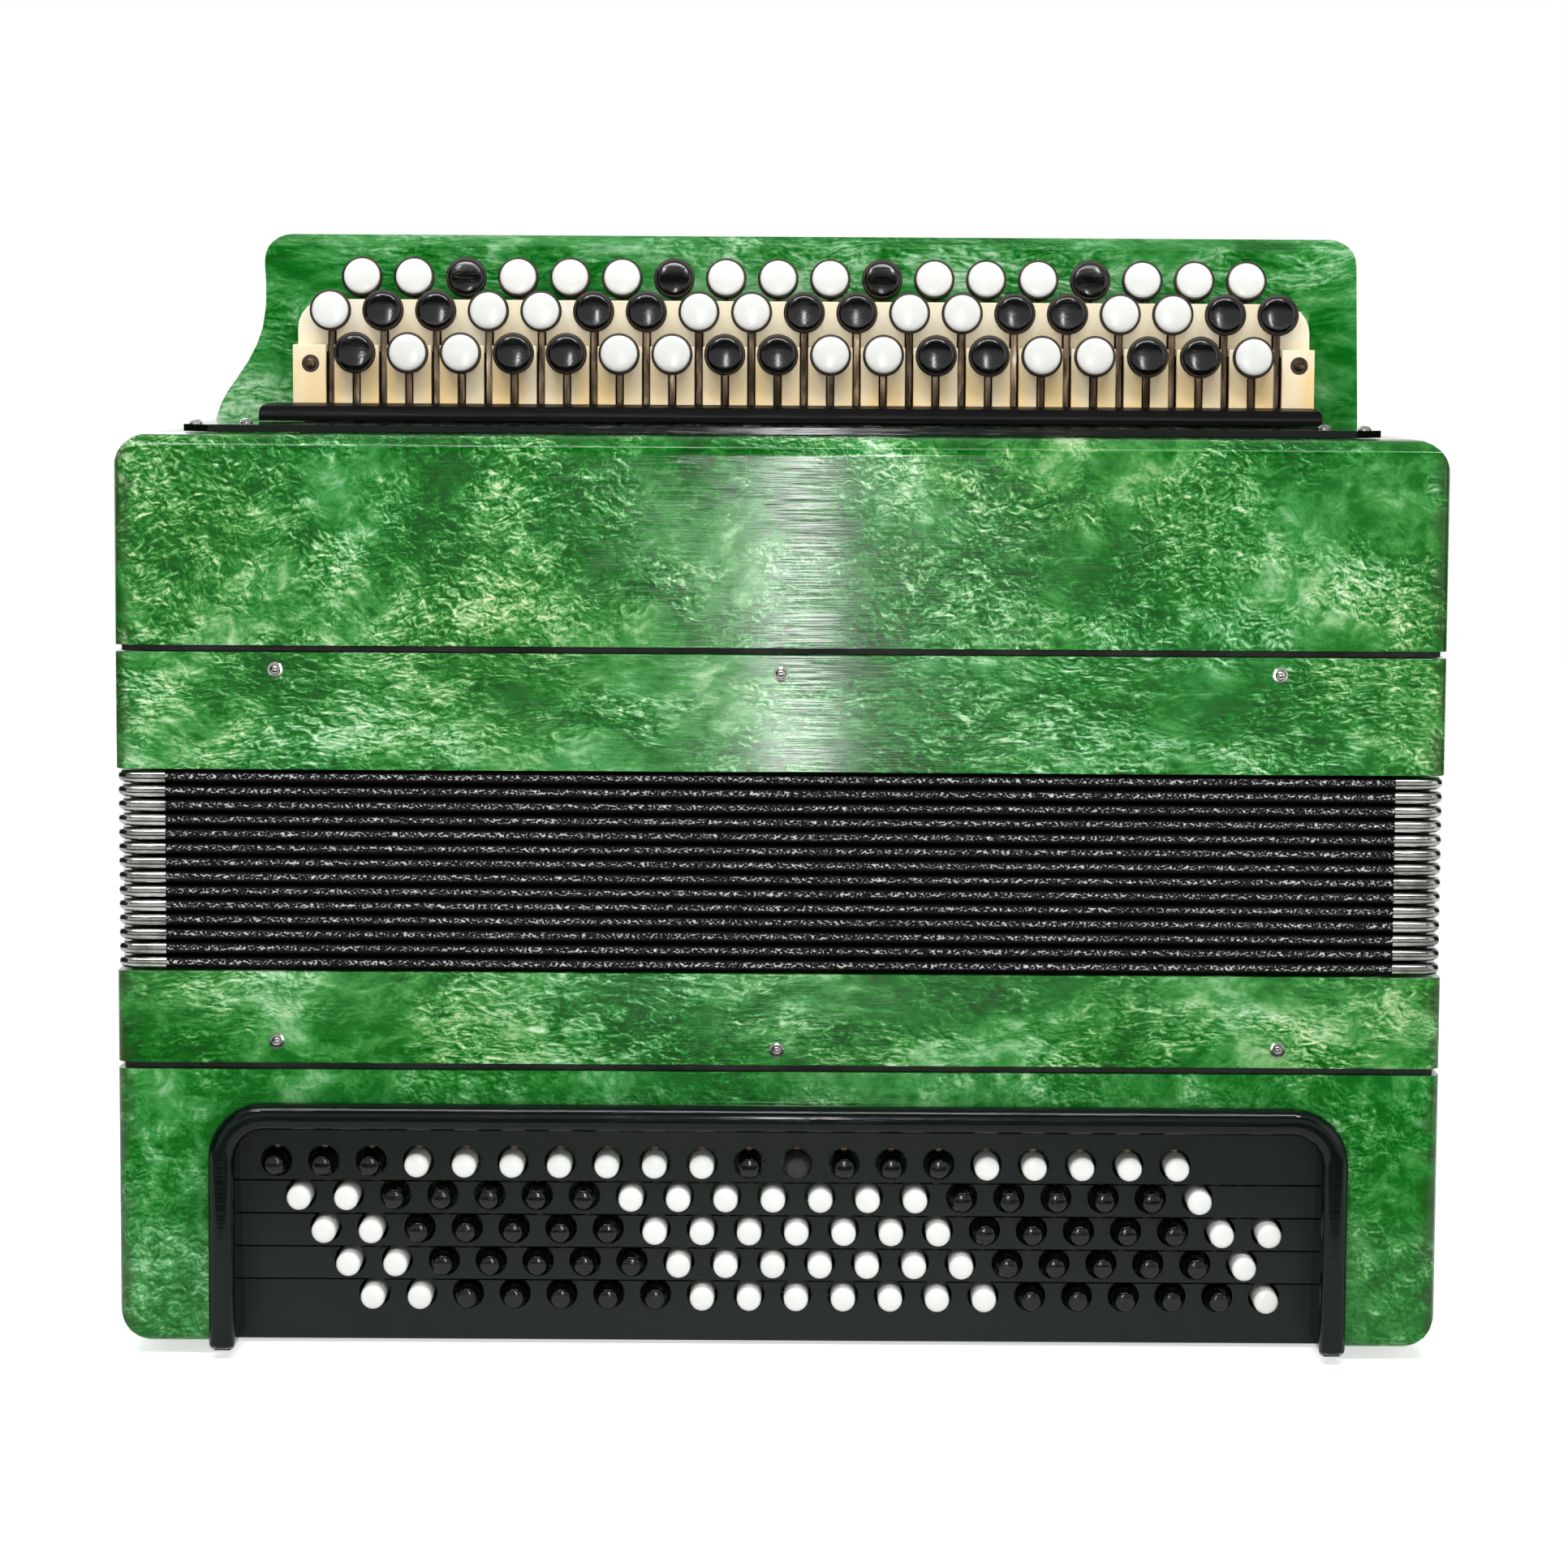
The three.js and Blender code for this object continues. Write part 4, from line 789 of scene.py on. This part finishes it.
def treble_buttons():
    models = {"W": treble_button("white cap"), "B": treble_button("black cap")}
    for name, row in treble_rows.items():
        buttons = []
        for i, color in enumerate(row["caps"]):
            x = treble_first + (i + row["shift"]) * treble_pitch
            seat = facing_front(x, front + row["behind"], row["z"], row["tilt"])
            buttons.append(copy_to(models[color], seat @ Matrix.Translation((0, 0, -cap_depth * mm))))
        body = f"treble {name} row"
        attach(join(f"treble_caps_{name}", buttons), body)
        lean = rim_radius * math.sin(math.radians(row["tilt"]))
        cap_back = front + row["behind"] + cap_depth / 2 + lean
        cap_foot = row["z"] - rim_radius - 1
        levers = bare_levers(f"treble_row_{name}", lambda spot: spot.y < cap_back and spot.z > cap_foot)
        attach(levers, body)
    remove(*models.values())


# Bass buttons: rounded white ones, bevelled black ones
def bass_button(color, r):
    base = -lever_behind - r * lever_behind_step
    tip = bass_proud
    if color == "white cap":
        head = [(bass_radius, tip - 1.5), (bass_radius - 0.15, tip - 0.8)]
        head += dome(bass_radius - 0.5, tip - 0.4, 0.4, 3)
    else:
        head = [(bass_radius, tip - 3.2), (bass_radius - 0.2, tip - 2.9), (bass_radius - 0.9, tip - 0.5)]
        head += dome(bass_radius - 1.15, tip - 0.25, 0.25, 2)
    return turned("bass_button", [(bass_radius, base)] + head, 24, finish[color])


def bass_seat(i, r):
    x = bass_first + (i + r / 2) * bass_pitch
    return facing_front(x, front + panel_front + r * panel_step, bass_top_row - r * bass_row_spacing)


def bass_front(r):
    """Picks out the frame's plungers of one bass row, up to their levers."""
    lever = front + panel_front + lever_behind + r * (panel_step + lever_behind_step)
    height = bass_top_row - r * bass_row_spacing
    return lambda spot: spot.y < lever and abs(spot.z - height) < bass_radius + hair


def bass_buttons():
    kinds = {"W": "white cap", "B": "bass black", "K": "knurled cap"}
    for r, (body, caps) in enumerate(zip(bass_bodies, bass_caps)):
        models = {letter: bass_button(kinds[letter], r) for letter in sorted(set(caps))}
        buttons = [copy_to(models[letter], bass_seat(i, r)) for i, letter in enumerate(caps)]
        attach(join(f"bass_caps_{r + 1}", buttons), body)
        attach(bare_levers(f"bass_row_{r + 1}", bass_front(r)), body)
        if r == air_row:
            cap = join("air_button_cap", [copy_to(models["W"], bass_seat(len(caps), r))])
            attach(cap, "air key")
            attach(bare_levers("air_button", bass_front(r)), "air key")
        remove(*models.values())


# Bass panel: five steps, each a sheet with round holes for its buttons
def panel_strip(low, high, face, holes):
    """A sheet between two corners (x, z), whose face stands at a depth, with holes at (x, z)."""
    middle = Vector(((low[0] + high[0]) / 2, face + panel_sheet / 2, (low[1] + high[1]) / 2))
    size = Vector((high[0] - low[0], panel_sheet, high[1] - low[1]))
    sheet = slab("panel_strip", middle * mm, size * mm)
    if holes:
        length = [(hole_radius, -2 * panel_sheet), (hole_radius, panel_sheet)]
        drill = turned("drill", length, 32, finish["satin"])
        drills = join("drills", [copy_to(drill, facing_front(x, face, z)) for x, z in holes])
        apply(sheet, "holes", "BOOLEAN", object=drills, operation="DIFFERENCE", solver="EXACT")
        remove(drill, drills)
    return sheet


def bass_panel():
    low, high = (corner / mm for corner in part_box("bass_button_panel"))
    lines = [bass_top_row - r * bass_row_spacing + step_line_rise for r in range(1, len(bass_caps))]
    lines = [high.z] + lines + [low.z]
    strips = []
    for r, caps in enumerate(bass_caps):
        seats = [bass_seat(i, r).translation / mm for i in range(len(caps) + (r == air_row))]
        holes = [(seat.x, seat.z) for seat in seats]
        face = front + panel_front + r * panel_step
        top = lines[r] - (step_groove if r else 0)
        strips.append(panel_strip((low.x, lines[r + 1]), (high.x, top), face, holes))
        if r:
            lip = face - panel_step
            ends = (low.x, lines[r]), (high.x, lines[r] + ledge_sheet)
            ledge = panel_strip(*ends, lip + ledge_inset, [])
            open_mesh(ledge)
            choose(ledge, lambda spot: spot.y > lip + panel_sheet / 2)
            bpy.ops.transform.translate(value=(0, (panel_step - ledge_inset) * mm, 0))
            close_mesh()
            strips.append(ledge)
    panel = paint(join("bass_panel_steps", strips), finish["satin"])
    shade(panel)
    attach(panel, "bass side")
    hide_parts("bass_button_panel")


def blend_sides(obj):
    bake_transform(obj)


def open_between(face):
    """Bakes the place of a pleat's face into its mesh."""
    blend_sides(face)


def ride_whole(obj):
    """Bakes the place of a whole piece into its mesh."""
    blend_sides(obj)


def ring(name, half_x, half_y, middle_y, section, cuts):
    """A rounded frame drawn through (height, depth) points, where depth is counted inwards.

    With cuts, its long sides are cut into that many more lengths, and its short ones into half as many.
    """
    bpy.ops.object.select_all(action="DESELECT")
    bpy.ops.mesh.primitive_plane_add(size=2)
    obj = bpy.context.object
    obj.name = name
    place = Matrix.Translation((0, middle_y * mm, section[0][0] * mm))
    obj.data.transform(place @ Matrix.Diagonal((half_x * mm, half_y * mm, 1, 1)))
    open_mesh(obj, "VERT")
    bpy.ops.mesh.bevel(affect="VERTICES", offset=bellows_corner * mm, segments=6)
    bpy.ops.mesh.select_all(action="SELECT")
    bpy.ops.mesh.delete(type="ONLY_FACE")
    if cuts:
        bpy.ops.mesh.select_mode(type="EDGE")
        straight = half_x - bellows_corner + hair
        long_side = half_y - hair
        choose(obj, lambda spot: abs(spot.x) < straight and abs(spot.y - middle_y) > long_side, "edges")
        bpy.ops.mesh.subdivide(number_cuts=cuts)
        choose(obj, lambda spot: abs(spot.x) > half_x - hair, "edges")
        bpy.ops.mesh.subdivide(number_cuts=cuts // 2)
    bpy.ops.mesh.select_mode(type="EDGE")
    bpy.ops.mesh.select_all(action="SELECT")
    height, depth = section[0][0], 0
    for step, (high, deep) in enumerate(section):
        if step:
            bpy.ops.mesh.extrude_region_move(TRANSFORM_OT_translate={"value": (0, 0, (high - height) * mm)})
        share = ((half_x - deep) / (half_x - depth), (half_y - deep) / (half_y - depth), 1)
        bpy.ops.transform.resize(value=share, center_override=(0, middle_y * mm, high * mm))
        height, depth = high, deep
    close_mesh()
    return obj


def bead(pitch, share, depth):
    """Half-round section of a ridge: (height, depth) points across the pitch."""
    turns = [math.pi * i / bead_steps for i in range(bead_steps + 1)]
    return [(pitch * (0.5 - share * math.cos(turn)), depth * (1 - math.sin(turn))) for turn in turns]


def corner_set(half_x, half_y, middle_y, pitch):
    """Nickel caps on the four corners of one ridge."""
    section = bead(pitch, corner_share, bead_depth)
    (foot, near), (top, far) = section[0], section[-1]
    section = [(foot, near + corner_lip)] + section + [(top, far + corner_lip)]
    obj = ring("corner", half_x + corner_lift, half_y + corner_lift, middle_y, section, 0)
    for side in (-1, 1):
        for normal, spot in (
            ((1, 0, 0), (side * (half_x - corner_reach), 0, 0)),
            ((0, 1, 0), (0, middle_y + side * (half_y - corner_reach), 0)),
        ):
            open_mesh(obj)
            bpy.ops.mesh.bisect(plane_co=Vector(spot) * mm, plane_no=normal)
            close_mesh()
    open_mesh(obj)
    for axis, middle, half in ((0, 0, half_x), (1, middle_y, half_y)):
        choose(obj, lambda spot: abs(spot[axis] - middle) < half - corner_reach + hair / 2)
        bpy.ops.mesh.delete(type="FACE")
    face_outwards()
    close_mesh()
    apply(obj, "sheet", "SOLIDIFY", thickness=corner_sheet * mm, offset=-1)
    shade(obj, 50)
    return paint(obj, finish["nickel"])


def cloth_ring(name, half_x, half_y, middle_y, section, cuts):
    obj = ring(name, half_x, half_y, middle_y, section, cuts)
    open_mesh(obj)
    face_outwards()
    close_mesh()
    shade(obj, 80)
    return paint(obj, finish["cloth"])


def bellows():
    low, high = (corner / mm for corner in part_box("bellows"))
    pitch = (high.z - low.z) / pleats
    half_x = high.x - bellows_edge - corner_lift
    half_y = (high.y - low.y) / 2 - bellows_edge - corner_lift
    sizes = half_x, half_y, (high.y + low.y) / 2
    section = bead(pitch, bead_share, bead_depth)
    ridge = cloth_ring("bellows_ridge", *sizes, section, ridge_cuts)
    lower = cloth_ring("bellows_lower_face", *sizes, [(0, pleat_depth), section[0]], 0)
    upper = cloth_ring("bellows_upper_face", *sizes, [section[-1], (pitch, pleat_depth)], 0)
    soft = ridge.vertex_groups.new(name="soft")
    crown = [v.index for v in ridge.data.vertices if pitch * waved_from < v.co.z / mm < pitch * waved_to]
    soft.add(crown, 1, "ADD")
    corners = corner_set(*sizes, pitch)
    corners.name = "bellows_corners"
    models = ridge, lower, upper, corners
    waves = bpy.data.textures.new("waves", "CLOUDS")
    waves.noise_scale = 0.06
    for k in range(pleats):
        base = low.z + k * pitch
        lifted = Matrix.Translation((0, 0, base * mm))
        pieces = [copy_to(model, lifted) for model in models]
        for piece, model in zip(pieces, models):
            piece.name = f"{model.name}_{k + 1:02d}"
        edge, face_below, face_above, caps = pieces
        apply(
            edge, "waves", "DISPLACE", texture=waves, texture_coords="LOCAL", direction="Z",
            strength=bellows_wave * mm, mid_level=0.5, vertex_group="soft",
        )
        ride_whole(edge)
        ride_whole(caps)
        open_between(face_below)
        open_between(face_above)
        if k == 0:
            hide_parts("bellows")
    remove(*models)


# Pins of the bellows, and screws
def screw(radius, rise, slot_width):
    """A domed screw head with a slot cut across it."""
    profile = [(radius, -0.5), (radius, 0.3)] + dome(radius - 0.1, 0.35, rise)
    head = turned("screw", profile, 24, finish["screw"])
    blade = slab("blade", Vector((0, 0, 0.4 + rise)) * mm, Vector((3 * radius, slot_width, rise)) * mm)
    apply(head, "slot", "BOOLEAN", object=blade, operation="DIFFERENCE", solver="EXACT")
    remove(blade)
    return head


def bellows_pins():
    pin = join("pin", [
        turned("pin_head", [(1.7, -0.5), (1.7, 0.7)] + dome(1.65, 0.75, 1), 24, finish["nickel"]),
        turned("pin_collar", [(2.5, -0.2), (2.5, 0.1), (1.6, 0.25)], 24, finish["nickel"]),
    ])
    rear = Matrix.Rotation(-math.pi / 2, 4, "X")
    for side, spots in pin_spots.items():
        pins = [copy_to(pin, facing_front(x, front, z)) for x, z in spots]
        pins += [copy_to(pin, Matrix.Translation(Vector((x, back, z)) * mm) @ rear) for x, z in spots]
        attach(join(f"{side}_bellows_pins", pins), f"{side} side")
    remove(pin)


def small_screws():
    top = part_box("treble_grille")[1].z / mm
    grille_screw = paint(screw(2.2, 1.2, 0.6), finish["nickel"])
    seats = [Vector((x, front + behind, top)) * mm for x, behind in grille_screw_spots]
    screws = [copy_to(grille_screw, Matrix.Translation(seat)) for seat in seats]
    attach(join("grille_screws", screws), "treble side")
    comb_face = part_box("lever_comb")[0].y / mm
    comb_screw = screw(1.9, 0.5, 0.5)
    washer = turned("washer", [(3, -0.3), (3, 0.1), (2.1, 0.2)], 28, finish["rim"])
    seats = [facing_front(x, comb_face, z) for x, z in comb_screw_spots]
    screws = [copy_to(model, seat) for seat in seats for model in (comb_screw, washer)]
    attach(join("comb_screws", screws), "treble side")
    remove(grille_screw, comb_screw, washer)


def comb_shade_sheet():
    """A dark brown sheet behind the comb: painted shade for the hollow between its teeth."""
    low, high = (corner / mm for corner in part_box("lever_comb"))
    middle = Vector(((low.x + high.x) / 2, high.y + shade_sheet_behind, (low.z + high.z) / 2 - shade_sheet_inset))
    size = Vector((high.x - low.x - 2 * shade_sheet_inset, shade_sheet_thickness, high.z - low.z - 2 * shade_sheet_inset))
    shade_sheet = paint(slab("comb_shade_sheet", middle * mm, size * mm), finish["felt"])
    attach(shade_sheet, "treble side")


# Camera at the photograph's viewing angle, and studio
def place_camera():
    tip = Matrix.Rotation(math.radians(90 - camera_pitch), 4, "X")
    roll = Matrix.Rotation(math.radians(camera_roll), 4, "Z")
    bpy.ops.object.camera_add(
        location=Vector((camera_side, front - camera_distance, camera_height)) * mm,
        rotation=(tip @ roll).to_euler(),
    )
    camera = bpy.context.object
    camera.data.lens = camera_lens
    camera.data.sensor_width = camera_sensor
    camera.data.clip_start = 0.05
    bpy.context.scene.camera = camera


def soft_light(name, spot, aim, size, power):
    turn = (Vector(aim) - Vector(spot)).to_track_quat("-Z", "Y").to_euler()
    bpy.ops.object.light_add(type="AREA", location=spot, rotation=turn)
    lamp = bpy.context.object
    lamp.name = name
    lamp.data.shape = "RECTANGLE"
    lamp.data.size, lamp.data.size_y = size
    lamp.data.energy = power


def seen_directly(tree):
    """1 where the camera, a reflection or a transparent face looks at the background."""
    rays = tree.nodes.new("ShaderNodeLightPath").outputs
    reflected = count(tree, "MAXIMUM", rays["Is Glossy Ray"], rays["Is Transmission Ray"])
    return count(tree, "MAXIMUM", rays["Is Camera Ray"], reflected)


def dark_card(name, corner_a, corner_b):
    """A black card between two corners, there only for what the polished pieces reflect."""
    a, b = Vector(corner_a), Vector(corner_b)
    card = slab(name, (a + b) / 2, b - a)
    card.visible_camera = card.visible_diffuse = card.visible_shadow = card.visible_transmission = False
    paint(card, finish["rubber"])


def studio():
    world = bpy.data.worlds.new("surroundings")
    bpy.context.scene.world = world
    world.use_nodes = True
    sky = world.node_tree.nodes["Background"].inputs
    sky["Color"].default_value = (1, 1, 1, 1)
    level = add(world.node_tree, "MapRange", {0: seen_directly(world.node_tree), 3: world_level, 4: 1.0})
    feed(world.node_tree, sky["Strength"], level)
    for lamp in lamps:
        soft_light(*lamp)
    for card in cards:
        dark_card(*card)
    bpy.ops.object.select_all(action="DESELECT")
    bpy.ops.mesh.primitive_plane_add(size=24)
    floor = bpy.context.object
    floor.name = "floor"
    material, tree, shader, place = start_material("white floor", Roughness=0.9, Specular_IOR_Level=0.2)
    grain = noise(tree, place, 3.0)
    feed(tree, shader["Base Color"], ramp(tree, grain, (0.3, (0.84, 0.84, 0.84)), (0.7, (0.87, 0.87, 0.87))))
    shader["Emission Color"].default_value = (1, 1, 1, 1)
    feed(tree, shader["Emission Strength"], count(tree, "MULTIPLY", seen_directly(tree), floor_glow))
    paint(floor, material)


bpy.ops.object.select_all(action="DESELECT")
place_camera()
for piece in rigid_pieces:
    finished(*piece)
for words, material in painted_nodes:
    for node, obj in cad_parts.items():
        if any(word in node for word in words.split()):
            paint(obj, finish[material])
treble_buttons()
bass_buttons()
bass_panel()
bellows()
bellows_pins()
small_screws()
comb_shade_sheet()
studio()
bpy.context.scene.view_settings.view_transform = "Standard"
